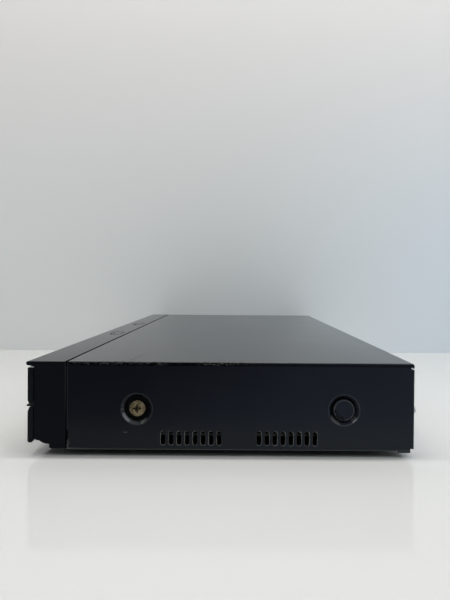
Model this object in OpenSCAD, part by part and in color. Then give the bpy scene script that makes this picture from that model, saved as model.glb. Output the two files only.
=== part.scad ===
// Blu-ray recorder: steel case, moulded fascia with a flap, and a tray loader driven by rack and gear.
// Millimetres. +Z up, front towards -Y, origin under the middle of the whole object, on the table.

/* [Case] */
// Overall width of the case
case_w = 430; // [426:1:450]
// Height of the top face above the table
case_h = 59; // [58:0.5:66]
// Length of the steel cover from the fascia seam to its rear edge
cover_len = 217.2; // [214:0.2:240]
// Height of the cover's lower edge above the table
cover_drop = 4.3; // [3.9:0.1:4.8]
// Thickness of the sheet steel
sheet = 0.8; // [0.6:0.1:1.2]
// Outside radius of the cover's long bends
bend_r = 1.6; // [1.4:0.1:3]
// Open seam between the fascia and the cover
seam = 0.5; // [0.3:0.1:1]
// Reach of the aerial sockets behind the cover
rear_reach = 10; // [8:0.5:14]
// Diameter of each foot
foot_d = 24; // [16:1:30]
// Distance of the feet from the sides
foot_in_x = 46; // [30:1:60]
// Distance of the feet from the cover's front and rear edges
foot_in_y = 30; // [22:1:50]

/* [Side vents] */
// Distance between the slots
vent_pitch = 5; // [4.5:0.1:5.4]
// Width of a slot
vent_w = 2.8; // [2:0.1:3.4]
// Height of a slot
vent_h = 8.7; // [6:0.1:11]
// Slots in each of the two groups
vent_count = 8; // [4:1:9]
// Slots left out between the two groups
vent_skip = 4; // [2:1:5]
// First slot behind the cover's front edge
vent_first = 60.3; // [56:0.1:64]
// Lower end of the slots above the cover's lower edge
vent_low = 2.95; // [2:0.05:6]

/* [Side screws] */
// Rim diameter of the drawn dish round a side screw
dimple_d = 19.5; // [17:0.1:23]
// Floor diameter of the dish
dish_d = 15.3; // [13.6:0.1:16.5]
// Depth of the dish
dish_depth = 2.6; // [2.2:0.1:3.2]
// Distance of the dishes from the cover's front and rear edges
dimple_in = 43.8; // [40:0.2:47]
// Height of the dishes above the cover's lower edge
dimple_up = 25.3; // [22:0.1:28]
// Head diameter of a cover screw
head_d = 10; // [7:0.1:10.5]
// Shank diameter of a cover screw
shank_d = 3; // [2.5:0.1:4]
// Diameter of the push-in caps
cap_d = 13; // [12.2:0.1:13.4]

/* [Fascia] */
// Reach of the fascia in front of the cover
fascia_reach = 25.2; // [24.6:0.2:32]
// Wall of the fascia moulding
wall = 2; // [1.6:0.1:2.4]
// Height of the lip along the top front edge
lip_h = 2.5; // [2:0.1:3.2]
// Thickness of the upper and lower front plates
plate_t = 3.5; // [3.2:0.1:4]
// Setback of the plates behind the nose of the lip
plate_back = 0.8; // [0.4:0.1:1.4]
// Shadow gap behind the plates
plate_gap = 0.7; // [0.6:0.1:1]
// Lower edge of the lower plate above the table
lower_z = 8.1; // [7:0.1:9]
// Height of the lower plate
lower_h = 22.3; // [21.8:0.1:23]
// Thickness of the trim strip between the plates
fin_t = 1.15; // [0.8:0.05:1.4]
// Width of the tray bezel
bezel_w = 144; // [143:0.5:146]

/* [Top buttons] */
// Length of a button along the fascia
button_w = 22; // [16:0.5:28]
// Depth of a button
button_d = 9; // [7:0.2:10]
// Distance of the buttons from the middle
button_x = 50; // [30:1:54]
// Travel of a button
button_travel = 0.8; // [0.4:0.1:0.9]

/* [Disc loader] */
// Width of the loader frame
drive_w = 148; // [147.5:0.5:152]
// Length of the loader frame
drive_len = 172; // [170:1:176]
// Diameter of a disc
disc_d = 120; // [112:1:121]
// Disc centre behind the cover's front edge
disc_in = 53; // [52:0.5:54]
// Travel of the tray
tray_travel = 138; // [100:1:138]
// Module of the loader gears and the rack
gear_m = 1; // [0.95:0.05:1.05]
// Teeth on the tray gear
gear_teeth = 20; // [18:2:20]
// Teeth on the pinion of the pulley gear
pinion_teeth = 14; // [14:1:15]
// Play on each tooth flank
flank_gap = 0.1; // [0.08:0.01:0.14]
// Travel of the pickup sled
sled_travel = 34; // [20:1:35]

/* [Electronics] */
// Width of the hard disk
hdd_w = 101.6; // [99:0.2:102]
// Length of the hard disk
hdd_l = 147; // [140:1:148]
// Height of the hard disk
hdd_h = 26.1; // [20:0.1:26.1]
// Thickness of the circuit boards
board_t = 1.6; // [1:0.1:2]
// Side of the square fan
fan_w = 40; // [36:1:41]
// Thickness of the fan
fan_t = 10; // [8:0.5:12]

/* [Clearances] */
// Gap between pieces that are fastened together
fit = 0.1; // [0.05:0.01:0.15]
// Gap round pieces that move
run = 0.3; // [0.25:0.01:0.4]
// Radial play of shafts and pins in their bores
shaft_gap = 0.05; // [0.02:0.01:0.08]

/* [Hidden] */
$fn = 48;

// Frame
total_d = fascia_reach + cover_len + rear_reach;
seam_y = fascia_reach - total_d / 2;
rear_y = seam_y + cover_len;
half_w = case_w / 2;
in_x = half_w - sheet;
base_lift = 0.5;
base_z = cover_drop + base_lift;
floor_z = base_z + sheet;
top_in = case_h - sheet;
panel_y1 = rear_y - sheet - fit;
panel_y0 = panel_y1 - sheet;
eps = 0.2;
function fwd(d) = seam_y - d;

// Side screws and feet
dimple_z = cover_drop + dimple_up;
dimple_ys = [seam_y + dimple_in, rear_y - dimple_in];
dish_floor_x = half_w - dish_depth;
tab_x1 = dish_floor_x - sheet - fit;
tab_w = 28;
head_t = 1.7;
cap_t = dish_depth - fit - 0.05;
foot_ys = [seam_y + foot_in_y, rear_y - foot_in_y];
foot_x = half_w - foot_in_x;
foot_pin_r = 3;
floor_slot_pitch = 11;
floor_slot_step = 32;
floor_slot_l = 22;

// Rear corner of the cover
lip_drop = 2.9;
corner_y = 1.9;
corner_z = 3.8;
corner_x = 3;
rear_bend = 1.2;
toe_y = 2.1;
toe_z = 1.4;
tab_len = 7.8;
tab_drop = 1.1;
flange_w = 10;
rear_screw_x = half_w - 5;
panel_slot_in = 42;
panel_slot_l = 24;
rear_screw_z = cover_drop + 25;

// Fascia levels, as distances in front of the cover's edge and heights above the table
front_d = fascia_reach - plate_back;
plate_d = front_d - plate_t;
face_d = plate_d - plate_gap;
lower_z1 = lower_z + lower_h;
fin_z = lower_z1 + 0.4;
fin_z1 = fin_z + fin_t;
upper_z = fin_z1 + 0.45;
upper_z1 = case_h - lip_h - 1.6;
plate_x = half_w - 0.5;
bezel_x = bezel_w / 2;
side_gap = 2;
bezel_drop = 0.9;
inner_x = bezel_x + side_gap;
wall_d = face_d - wall;

// Flap
flap_x = [inner_x, plate_x];
hinge_d = front_d - 1.7;
hinge_z = upper_z + 1.8;
ear_w = 4;
ear_r = 1.6;
ear_xs = [inner_x + 14, plate_x - 14];
pin_r = 0.9;
pin_len = 12;

// Disc loader
drive_y = [seam_y + 3, seam_y + 3 + drive_len];
drive_z = floor_z + 7.4;
drive_x = drive_w / 2;
rack_z = upper_z + 1;
rack_h = 4.1;
tray_z = rack_z + rack_h;
rail_t = 3;
rim_t = 5;
well_t = 2.5;
frame_in = drive_x - 4.5;
tray_x = frame_in - 0.5;
rim_x = tray_x - 5;
drive_top = tray_z + 9.5;
disc_y = seam_y + disc_in;
tray_y = [fwd(plate_d), seam_y + 165];
slot_x = 23;
top_slot_step = 25;
gear_r = gear_m * gear_teeth / 2;
pinion_r = gear_m * pinion_teeth / 2;
addendum = 0.8 * gear_m;
dedendum = 1.05 * gear_m;
rack_pitch_x = -33;
gear_x = rack_pitch_x - gear_r;
gear_y = seam_y + 21;
gear_z = [rack_z + run, tray_z - run];
mesh_turn = (floor(150 * gear_teeth / 360) + 0.5) * 360 / gear_teeth;
pinion_x = gear_x + (gear_r + pinion_r) * cos(mesh_turn);
pinion_y = gear_y + (gear_r + pinion_r) * sin(mesh_turn);
pulley_r = 10;
pulley_lip = 0.9;
groove_depth = 1.8;
pulley_z = [gear_z[0] - 5.2, gear_z[0] - 1.2];
motor_y = pinion_y + 46;
motor_pulley_r = 3.5;
gear_pin_r = 1.5;
deck_z = drive_z + 2;

// Traverse with spindle and pickup
traverse_x = 40;
sled_len = 28;
sled_in = 18;
sled_y = [disc_y + sled_in, disc_y + sled_in + sled_len];
sled_end = sled_y[1] + sled_travel;
traverse_front = 26;
traverse_tail = 30;
traverse_y = [disc_y - traverse_front, sled_end + traverse_tail];
traverse_z = [tray_z - 17, tray_z - 13];
traverse_pivot_y = traverse_y[1] - 3;
traverse_pivot_z = traverse_z[0] + 2;
pivot_r = 2;
pivot_reach = 8;
pivot_gap = 2;
rod_x = 24;
rod_r = 1.5;
rod_z = traverse_z[1] + rod_r + fit;
rod_y = [sled_y[0] - 4.3, sled_end + 8];
lens_y = sled_y[0] + 7;
lead_x = -33;
lead_r = 1.5;
sled_motor_r = 4;
lead_z = traverse_z[1] + sled_motor_r + 0.2;
lead_y = [sled_y[0], sled_end + 6];
spindle_shaft_r = 1.5;
clamp_hole_r = 14;
clamp_bore_r = 8.5;
turntable_r = 14.5;
hub_r = 7.4;
neck_r = 6;
cover_side = 9;
bezel_peg_xs = [-52, 52];
spindle_r = 13;
turntable_z = tray_z + well_t + 1;

// Electronics
board_z = floor_z + 5;
stand_r = 3;
hdd_side = 17.4;
hdd_x = [half_w - hdd_side - hdd_w, half_w - hdd_side];
hdd_in = 11;
hdd_y = [seam_y + hdd_in, seam_y + hdd_in + hdd_l];
main_x = [drive_x + 8, half_w - 8];
main_y = [seam_y + 40, panel_y0 - 2];
power_x = [-half_w + 12, -drive_x - 22];
power_y = [seam_y + 34, panel_y0 - 2];
fan_x = -drive_x + 12;
fan_z = floor_z + 5 + fan_w / 2;
fan_hub_r = 9;
fan_hole_in = 4;
fan_hole_r = 1.6;
fan_rim = 1.5;
hole_inset = 5;
chip_t = 1.5;
sink_base = 1.5;
sink_w = 26;
sink_h = 6;
sink_gap = 1.2;
sink_z = board_z + board_t + chip_t + fit;
damper_t = 2.4;
damper_r = 5;
bracket_z = sink_z + sink_h + sink_gap;
hdd_z = bracket_z + sheet + damper_t + 2 * fit;
core_x = 62;
core_y = 70;
core_w = 37;
core_d = 36;
core_h = 28;
power_sink_x = 50;
power_sink_y = 20;
power_sink_w = 36;
power_sink_d = 12;
power_sink_h = 26;
can_x = 22;
can_y = 78;
can_r = 11;
can_h = 30;
small_can_x = 90;
small_can_y = 40;
small_can_r = 5;
small_can_h = 18;
small_can_pitch = 14;

// Fascia fittings
button_fwd = 10.5;
switch_h = 3.8;
key_z = case_h - wall - run - 1 - 0.4 - button_travel - switch_h - fit - board_t;
key_boss_xs = [-button_x - 19, -button_x + 20, button_x - 20, button_x + 19];
front_board_d = 6;
window_x = [-plate_x + 24, -inner_x - 24];
window_z = [upper_z + 4.6, upper_z1 - 4.9];
front_boss_xs = [window_x[0] - 6, window_x[1] + 6];
front_boss_zs = [lower_z + 12, window_z[1] - 1];
card_w = 80;
card_d = 26;
card_x = [(inner_x + plate_x - card_w) / 2, (inner_x + plate_x + card_w) / 2];
card_z = upper_z + 5;
usb_x = card_x[0] + 16;
usb_w = 13.2;
usb_h = 5.8;
slot_card_x = card_x[0] + 52;
slot_w = 28;
slot_h = 3.6;
shell_t = 0.5;
peg_r = 2;
peg_end = 0.6;
peg_z = lower_z + lower_h / 2;
peg_xs = [for (i = [-2:2]) i * (half_w - 25) / 2];
fin_tab = 6;
tongue_t = 1.8;

// Fastening points inside
small_screw_r = 1.3;
small_head_r = 2.6;
small_head_t = 1.6;
drive_post_xs = [-frame_in + 8, frame_in - 8];
drive_post_ys = [drive_y[0] + 10, drive_y[1] - 10];
main_stands = [for (x = main_x, y = main_y)
  [x + (x == main_x[0] ? hole_inset : -hole_inset), y + (y == main_y[0] ? hole_inset : -hole_inset)]];
power_stands = [for (x = power_x, y = power_y)
  [x + (x == power_x[0] ? hole_inset : -hole_inset), y + (y == power_y[0] ? hole_inset : -hole_inset)]];
bracket_post_xs = [hdd_x[0] + 10, hdd_x[1] - 10];
bracket_post_y = hdd_y[1] - 12;
hdd_hole_in = 11.2;
hdd_hole_xs = [hdd_x[0] + hdd_hole_in, hdd_x[1] - hdd_hole_in];
hdd_hole_front = 28;
hdd_hole_back = 29;
hdd_hole_ys = [hdd_y[0] + hdd_hole_front, hdd_y[1] - hdd_hole_back];

// Sockets at the rear
io_z = board_z + board_t + fit;
tuner_w = 22;
tuner_len = 36;
aerial_r = 4.7;
aerial_zs = [io_z + 8, io_z + 24];
av_pitch = 11;
av_r = 4.2;
av_z = io_z + 9;
lan_w = 16;
lan_h = 13.5;
hdmi_w = 15;
hdmi_h = 6;
// The sockets stand in a row between the board's rear screws, with even gaps
io_x = [main_x[0] + hole_inset + stand_r, main_x[1] - hole_inset - stand_r];
io_gap = (io_x[1] - io_x[0] - tuner_w - 3 * av_pitch - lan_w - hdmi_w) / 3;
aerial_x = io_x[0] + tuner_w / 2;
av_x = io_x[0] + tuner_w + io_gap + av_pitch / 2;
hdmi_x = io_x[1] - hdmi_w / 2;
lan_x = io_x[1] - hdmi_w - io_gap - lan_w / 2;
inlet_x = power_x[0] + 20;
inlet_w = 20;
inlet_h = 12;
inlet_z = io_z;

// A box from pairs of limits
module block(x, y, z) {
  translate([x[0], y[0], z[0]])
    cube([x[1] - x[0], y[1] - y[0], z[1] - z[0]]);
}

// Outlines in (y, z) drawn out along X
module along_x(x) {
  translate([x[0], 0, 0])
    rotate([90, 0, 90])
      linear_extrude(x[1] - x[0]) children();
}

// Outlines in (x, z) drawn out along Y
module along_y(y) {
  translate([0, y[1], 0])
    rotate([90, 0, 0])
      linear_extrude(y[1] - y[0]) children();
}

// Outlines in (x, y) drawn out along Z
module along_z(z) {
  translate([0, 0, z[0]])
    linear_extrude(z[1] - z[0]) children();
}

// Round bars along each axis
module bar_x(x, y, z, r) {
  translate([x[0], y, z]) rotate([0, 90, 0]) cylinder(r = r, h = x[1] - x[0]);
}

module bar_y(x, y, z, r) {
  translate([x, y[0], z]) rotate([-90, 0, 0]) cylinder(r = r, h = y[1] - y[0]);
}

module bar_z(x, y, z, r) {
  translate([x, y, z[0]]) cylinder(r = r, h = z[1] - z[0]);
}

module both_sides() {
  children();
  mirror([1, 0, 0]) children();
}

function arc(c, r, a0, a1, n = 5) =
  [for (i = [0:n]) c + r * [cos(a0 + (a1 - a0) * i / n), sin(a0 + (a1 - a0) * i / n)]];

// Rectangle between two corners with rounded corners
module rounded(lo, hi, r) {
  polygon(concat(
    arc([hi[0] - r, lo[1] + r], r, -90, 0), arc([hi[0] - r, hi[1] - r], r, 0, 90),
    arc([lo[0] + r, hi[1] - r], r, 90, 180), arc([lo[0] + r, lo[1] + r], r, 180, 270)));
}

// Spur gear outline with involute flanks and stub teeth, tooth 0 on the +X axis
function inv(a) = tan(a) * 180 / PI - a;
function flank(rp, r, half) =
  let (rb = rp * cos(20), a = acos(min(1, rb / r))) half + inv(20) - inv(a);

function tooth(rp, turn, teeth) =
  let (half = 90 / teeth - flank_gap / rp * 90 / PI, ra = rp + addendum, rr = rp - dedendum,
       rb = max(rr + 0.05, rp * cos(20)), steps = [rr, rb, (rb + rp) / 2, rp, (rp + ra) / 2, ra])
  concat(
    [for (r = steps) let (a = turn - flank(rp, max(r, rb), half)) r * [cos(a), sin(a)]],
    [for (i = [len(steps) - 1:-1:0])
      let (r = steps[i], a = turn + flank(rp, max(r, rb), half)) r * [cos(a), sin(a)]]);

module gear_outline(rp, teeth) {
  polygon([for (k = [0:teeth - 1]) each tooth(rp, k * 360 / teeth, teeth)]);
}

// Outline of a pressed slot with round ends, from the middle of its lower end
module slot_outline(x, y, w, h) {
  rounded([x - w / 2, y], [x + w / 2, y + h], w / 2 - 0.01);
}

// Points given by distance in front of the cover's edge and height above the table
function at(d, z) = [fwd(d), z];

module base_chassis() {
  color("gainsboro")
  difference() {
    union() {
      block([-in_x + fit, in_x - fit], [seam_y, panel_y0 - fit], [base_z, floor_z]);
      both_sides() for (y = dimple_ys)
        block([tab_x1 - sheet, tab_x1], [y - tab_w / 2, y + tab_w / 2], [base_z, dimple_z + 9]);
      for (x = drive_post_xs, y = drive_post_ys)
        bar_z(x, y, [base_z, drive_z - fit], 4);
      for (p = main_stands)
        bar_z(p[0], p[1], [base_z, board_z - fit], stand_r);
      for (p = power_stands)
        bar_z(p[0], p[1], [base_z, board_z - fit], stand_r);
      for (x = bracket_post_xs)
        bar_z(x, bracket_post_y, [base_z, bracket_z - fit], stand_r);
      block([-drive_x, drive_x], [panel_y0 - fit - sheet, panel_y0 - fit], [base_z, floor_z + 5]);
    }
    for (x = [-foot_x, foot_x], y = foot_ys)
      bar_z(x, y, [base_z - 1, floor_z + 1], foot_pin_r + fit);
    both_sides() for (y = dimple_ys)
      bar_x([tab_x1 - sheet - 1, tab_x1 + 1], y, dimple_z, shank_d / 2 + fit);
    for (p = concat(main_stands, power_stands))
      bar_z(p[0], p[1], [floor_z, board_z], small_screw_r + fit);
    for (x = drive_post_xs, y = drive_post_ys)
      bar_z(x, y, [floor_z, drive_z], small_screw_r + fit);
    for (row = [-0.25:1:1.75], i = [-5:5])
      along_z([base_z - 1, floor_z + 1])
        slot_outline(i * floor_slot_pitch, disc_y + row * floor_slot_step, 3, floor_slot_l);
  }
}

module cover_outline(inset, low) {
  r = bend_r - inset;
  x = half_w - inset;
  z = case_h - inset;
  polygon(concat([[-x, low], [x, low]], arc([x - r, z - r], r, 0, 90), arc([r - x, z - r], r, 90, 180)));
}

module top_cover() {
  vent_z = cover_drop + vent_low;
  vent_steps = concat([for (i = [0:vent_count - 1]) i],
                      [for (i = [0:vent_count - 1]) i + vent_count + vent_skip]);
  color([0.09, 0.1, 0.12])
  difference() {
    union() {
      difference() {
        along_y([seam_y, rear_y]) cover_outline(0, cover_drop);
        along_y([seam_y - 1, rear_y + 1]) cover_outline(sheet, cover_drop - 1);
      }
      both_sides() {
        for (y = dimple_ys)
          translate([half_w - dish_depth - sheet, y, dimple_z]) rotate([0, 90, 0])
            cylinder(r1 = dish_d / 2 + sheet, r2 = dimple_d / 2 + sheet, h = dish_depth + sheet / 2);
        block([half_w - flange_w, in_x + eps], [rear_y - sheet, rear_y],
              [cover_drop + toe_z, case_h - corner_z]);
        block([in_x, half_w], [rear_y - toe_y - tab_len, rear_y - toe_y],
              [cover_drop - tab_drop, cover_drop + eps]);
      }
      block([-in_x - eps, in_x + eps], [rear_y - sheet, rear_y], [case_h - lip_drop, top_in + eps]);
    }
    both_sides() {
      for (y = dimple_ys) {
        translate([half_w - dish_depth, y, dimple_z]) rotate([0, 90, 0])
          cylinder(r1 = dish_d / 2, r2 = dimple_d / 2, h = dish_depth + 0.01);
        bar_x([half_w - dish_depth - sheet - 1, half_w - 1], y, dimple_z, shank_d / 2 + fit);
      }
      along_x([in_x - 1, half_w + 1])
        for (i = vent_steps)
          slot_outline(seam_y + vent_first + i * vent_pitch, vent_z, vent_w, vent_h);
      block([half_w - corner_x, half_w + 1], [rear_y - corner_y, rear_y - sheet],
            [case_h - corner_z, case_h - bend_r]);
      block([half_w - corner_x, half_w + 1], [rear_y - corner_y, rear_y + 1],
            [case_h - corner_z, case_h - lip_drop]);
      block([half_w - corner_x, half_w + 1], [rear_y - toe_y, rear_y + 1], [0, cover_drop + toe_z]);
      bar_y(rear_screw_x, [rear_y - sheet - 1, rear_y + 1], rear_screw_z, shank_d / 2 + fit);
    }
    along_x([-half_w - 1, half_w + 1])
      translate([rear_y - rear_bend, case_h - rear_bend])
        difference() {
          square(rear_bend + 1);
          circle(rear_bend);
        }
  }
}

module back_panel() {
  panel_x = in_x - run;
  color("silver")
  difference() {
    block([-panel_x, panel_x], [panel_y0, panel_y1], [floor_z, case_h - lip_drop - run]);
    along_y([panel_y0 - 1, panel_y1 + 1]) {
      for (i = [-3:3])
        let (reach = sqrt(pow(fan_w / 2 - 2, 2) - pow(i * 5, 2)))
          rounded([fan_x + i * 5 - 1.5, fan_z - reach], [fan_x + i * 5 + 1.5, fan_z + reach], 1.45);
      rounded([hdmi_x - hdmi_w / 2 - fit, io_z - fit], [hdmi_x + hdmi_w / 2 + fit, io_z + hdmi_h + fit], fit);
      rounded([lan_x - lan_w / 2 - fit, io_z - fit], [lan_x + lan_w / 2 + fit, io_z + lan_h + fit], fit);
      rounded([inlet_x - inlet_w / 2 - fit, inlet_z - fit],
              [inlet_x + inlet_w / 2 + fit, inlet_z + inlet_h + fit], 3);
      for (i = [0:4])
        slot_outline(power_x[0] + panel_slot_in + i * 9, floor_z + 8, 4, panel_slot_l);
    }
    for (z = aerial_zs)
      bar_y(aerial_x, [panel_y0 - 1, panel_y1 + 1], z, aerial_r + fit);
    for (i = [0:2])
      bar_y(av_x + i * av_pitch, [panel_y0 - 1, panel_y1 + 1], av_z, av_r + fit);
    both_sides() bar_y(rear_screw_x, [panel_y0 - 1, panel_y1 + 1], rear_screw_z, shank_d / 2 + fit);
    for (sx = [-1, 1], sz = [-1, 1])
      bar_y(fan_x + sx * (fan_w / 2 - fan_hole_in), [panel_y0 - 1, panel_y1 + 1],
            fan_z + sz * (fan_w / 2 - fan_hole_in), fan_hole_r);
  }
}

module feet() {
  foot_r = foot_d / 2;
  color([0.12, 0.12, 0.13])
  for (x = [-foot_x, foot_x], y = foot_ys)
    translate([x, y, 0])
      rotate_extrude()
        polygon([[0, 0], [foot_r - 1.6, 0], [foot_r - 0.4, 0.8], [foot_r, 2], [foot_r - 0.8, base_z - fit],
                 [foot_pin_r, base_z - fit], [foot_pin_r, floor_z + 1], [0, floor_z + 1]]);
}

// Pan-head screw along +X whose head seats at x = 0, with a cross recess
module pan_screw(head_r, head_h, shank_r, shank_len) {
  difference() {
    union() {
      rotate([0, 90, 0])
        rotate_extrude()
          polygon([[0, 0], [head_r, 0], [head_r, head_h * 0.45], [head_r * 0.72, head_h * 0.92],
                   [0, head_h]]);
      bar_x([-shank_len, eps], 0, 0, shank_r);
    }
    for (a = [0, 90])
      rotate([a, 0, 0]) block([head_h * 0.4, head_h + 1], [-head_r * 0.55, head_r * 0.55],
                              [-head_r * 0.11, head_r * 0.11]);
  }
}

module cover_screws() {
  color([0.5, 0.44, 0.26])
  both_sides() for (y = dimple_ys)
    translate([dish_floor_x + fit, y, dimple_z]) pan_screw(head_d / 2, head_t, shank_d / 2, 7);
}

// Caps pushed into every dish but the right-hand front one
module screw_caps() {
  seats = [[1, dimple_ys[1]], [-1, dimple_ys[0]], [-1, dimple_ys[1]]];
  color([0.1, 0.1, 0.11])
  for (s = seats)
    mirror([s[0] < 0 ? 1 : 0, 0, 0]) translate([dish_floor_x + fit, s[1], dimple_z]) rotate([0, 90, 0])
      difference() {
        cylinder(r = cap_d / 2, h = cap_t);
        translate([0, 0, -1]) cylinder(r = head_d / 2 + 0.4, h = head_t + fit + 1);
      }
}

module rear_screws() {
  color("dimgray")
  both_sides()
    translate([rear_screw_x, rear_y + fit, rear_screw_z]) rotate([0, 0, 90])
      pan_screw(3, 2.3, shank_d / 2, 7);
}

// Outline of the fascia moulding seen from its end
module fascia_outline() {
  step_d = face_d - 9.6;
  polygon(concat(
    [at(seam, cover_drop), at(seam, case_h)],
    [for (p = arc([fascia_reach - lip_h / 2, case_h - lip_h / 2], lip_h / 2, 90, -90, 8)) at(p[0], p[1])],
    [at(face_d, case_h - lip_h - 0.8), at(face_d, lower_z + 3.5), at(face_d - 1.8, lower_z + 1.4)],
    [for (p = arc([face_d - 8.7, lower_z + 8], 8.5, -48, -90, 5)) at(p[0], p[1])],
    [at(step_d, lower_z - 0.7), at(step_d, cover_drop + 0.8), at(step_d - 2.6, cover_drop)]));
}

module fascia_hollow() {
  step_d = face_d - 9.6 - wall;
  polygon([at(seam - 1, cover_drop + wall), at(seam - 1, case_h - wall), at(wall_d, case_h - wall),
           at(wall_d, lower_z + 6.5), at(wall_d - 2.6, lower_z + 3.6), at(step_d + 2.6, lower_z + 1.6),
           at(step_d, lower_z + 1.3), at(step_d, cover_drop + wall)]);
}

// Knuckle outline of the flap hinge in (y, z)
module ear_outline() {
  polygon(concat([at(face_d - eps, hinge_z + ear_r), at(face_d - eps, hinge_z - ear_r)],
    [for (p = arc([hinge_d, hinge_z], ear_r, -90, 90, 8)) at(p[0], p[1])]));
}

module front_panel() {
  end_x = half_w - wall;
  color([0.07, 0.075, 0.09])
  difference() {
    union() {
      difference() {
        along_x([-half_w, half_w]) fascia_outline();
        along_x([-end_x, end_x]) fascia_hollow();
      }
      block([-in_x + 4, in_x - 4], [fwd(4), seam_y + 5], [case_h - wall - tongue_t, case_h - wall + eps]);
      block([-foot_x, foot_x], [fwd(4), seam_y + 6], [floor_z + fit, floor_z + fit + 1.6]);
      both_sides()
        block([end_x - tongue_t, end_x + eps], [fwd(4), seam_y + 4], [lower_z, case_h - 4]);
      for (x = ear_xs)
        along_x([x - ear_w / 2, x + ear_w / 2]) ear_outline();
      for (x = key_boss_xs)
        bar_z(x, fwd(button_fwd), [key_z + board_t + fit, case_h - wall + eps], 2.5);
      for (x = front_boss_xs, z = front_boss_zs)
        bar_y(x, [fwd(wall_d + eps), fwd(front_board_d + board_t + fit)], z, 2.5);
      block(card_x, [fwd(wall_d + eps), fwd(wall_d - 6)], [card_z - 2 - fit, card_z - fit]);
    }
    block([-tray_x - 1, tray_x + 1], [fwd(face_d + 1), fwd(wall_d - 1)], [rack_z - run, tray_z + rim_t + 1]);
    block(window_x, [fwd(face_d + 1), fwd(wall_d - 1)], window_z);
    block([usb_x - usb_w / 2 - fit, usb_x + usb_w / 2 + fit], [fwd(face_d + 1), fwd(wall_d - 1)],
          [card_z + board_t - fit, card_z + board_t + usb_h + 2 * fit]);
    block([slot_card_x - slot_w / 2 - fit, slot_card_x + slot_w / 2 + fit],
          [fwd(face_d + 1), fwd(wall_d - 1)],
          [card_z + board_t - fit, card_z + board_t + slot_h + 2 * fit]);
    for (x = ear_xs)
      bar_x([x - ear_w, x + ear_w], fwd(hinge_d), hinge_z, pin_r + shaft_gap);
    for (x = peg_xs)
      bar_y(x, [fwd(face_d + 1), fwd(wall_d - 1)], peg_z, peg_r + fit);
    for (x = peg_xs)
      block([x - fin_tab - fit, x + fin_tab + fit], [fwd(face_d + 1), fwd(wall_d - 1)],
            [fin_z - fit, fin_z1 + fit]);
    for (x = [-button_x, button_x])
      along_z([case_h - wall - 1, case_h + 1]) button_outline(x, run);
  }
}

// Front plate outline in (y, z) with a chamfered lower edge
module upper_outline() {
  polygon([at(front_d, upper_z1), at(front_d, upper_z + 2), at(front_d - 1, upper_z),
           at(plate_d + 0.8, upper_z), at(plate_d, upper_z + 0.8), at(plate_d, upper_z1)]);
}

module lower_panel() {
  color([0.07, 0.075, 0.09])
  union() {
    along_x([-plate_x, plate_x])
      polygon([at(front_d - 1.2, lower_z1), at(front_d, lower_z1 - 2.8), at(front_d, lower_z + 0.8),
               at(front_d - 0.8, lower_z), at(plate_d + 0.9, lower_z), at(plate_d, lower_z + 1.5),
               at(plate_d, lower_z1)]);
    for (x = peg_xs)
      bar_y(x, [fwd(plate_d + eps), fwd(wall_d - peg_end)], peg_z, peg_r);
  }
}

module centre_trim() {
  color([0.16, 0.17, 0.19])
  union() {
    along_x([-plate_x, plate_x])
      polygon([at(face_d + fit, fin_z), at(fascia_reach - 0.5, fin_z),
               at(fascia_reach - 0.1, (fin_z + fin_z1) / 2), at(fascia_reach - 0.5, fin_z1),
               at(face_d + fit, fin_z1)]);
    for (x = peg_xs)
      block([x - fin_tab, x + fin_tab], [fwd(face_d + 1), fwd(wall_d - peg_end)], [fin_z, fin_z1]);
  }
}

module display_window() {
  color([0.05, 0.05, 0.06])
  union() {
    along_x([-plate_x, -inner_x]) upper_outline();
    block([window_x[0] + fit, window_x[1] - fit], [fwd(plate_d + eps), fwd(wall_d - peg_end)],
          [window_z[0] + fit, window_z[1] - fit]);
  }
}

module display_module() {
  color([0.2, 0.24, 0.26])
  difference() {
    block([window_x[0] + 3, window_x[1] - 3],
          [fwd(wall_d - peg_end - fit), fwd(front_board_d + board_t + fit)],
          [window_z[0] - 1, window_z[1] + 1]);
    block([window_x[0] + 6, window_x[1] - 6], [fwd(wall_d), fwd(wall_d - 1.4)],
          [window_z[0] + 2, window_z[1] - 2]);
  }
}

module front_board() {
  color("seagreen")
  difference() {
    block([front_boss_xs[0] - hole_inset, front_boss_xs[1] + hole_inset],
          [fwd(front_board_d + board_t), fwd(front_board_d)],
          [front_boss_zs[0] - hole_inset, front_boss_zs[1] + hole_inset]);
    for (x = front_boss_xs, z = front_boss_zs)
      bar_y(x, [fwd(front_board_d + board_t + 1), fwd(front_board_d - 1)], z, small_screw_r + fit);
  }
}

module flap_door() {
  notch_z = hinge_z + ear_r + 0.8;
  color([0.07, 0.075, 0.09])
  difference() {
    along_x(flap_x) upper_outline();
    for (x = ear_xs) {
      block([x - ear_w / 2 - run, x + ear_w / 2 + run], [fwd(front_d + 1), fwd(plate_d - 1)],
            [upper_z - 1, notch_z]);
      bar_x([x - pin_len / 2 - fit, x + pin_len / 2 + fit], fwd(hinge_d), hinge_z, pin_r + 0.02);
    }
    block([flap_x[0] + 20, flap_x[1] - 20], [fwd(plate_d + 1), fwd(plate_d - 1)],
          [upper_z + 8, upper_z1 - 3]);
  }
}

module flap_pins() {
  color("lightgray")
  for (x = ear_xs)
    bar_x([x - pin_len / 2, x + pin_len / 2], fwd(hinge_d), hinge_z, pin_r);
}

module card_board() {
  color("seagreen")
  block([card_x[0] + 1, card_x[1] - 1], [fwd(wall_d - fit), fwd(wall_d - card_d)],
        [card_z, card_z + board_t]);
}

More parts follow.
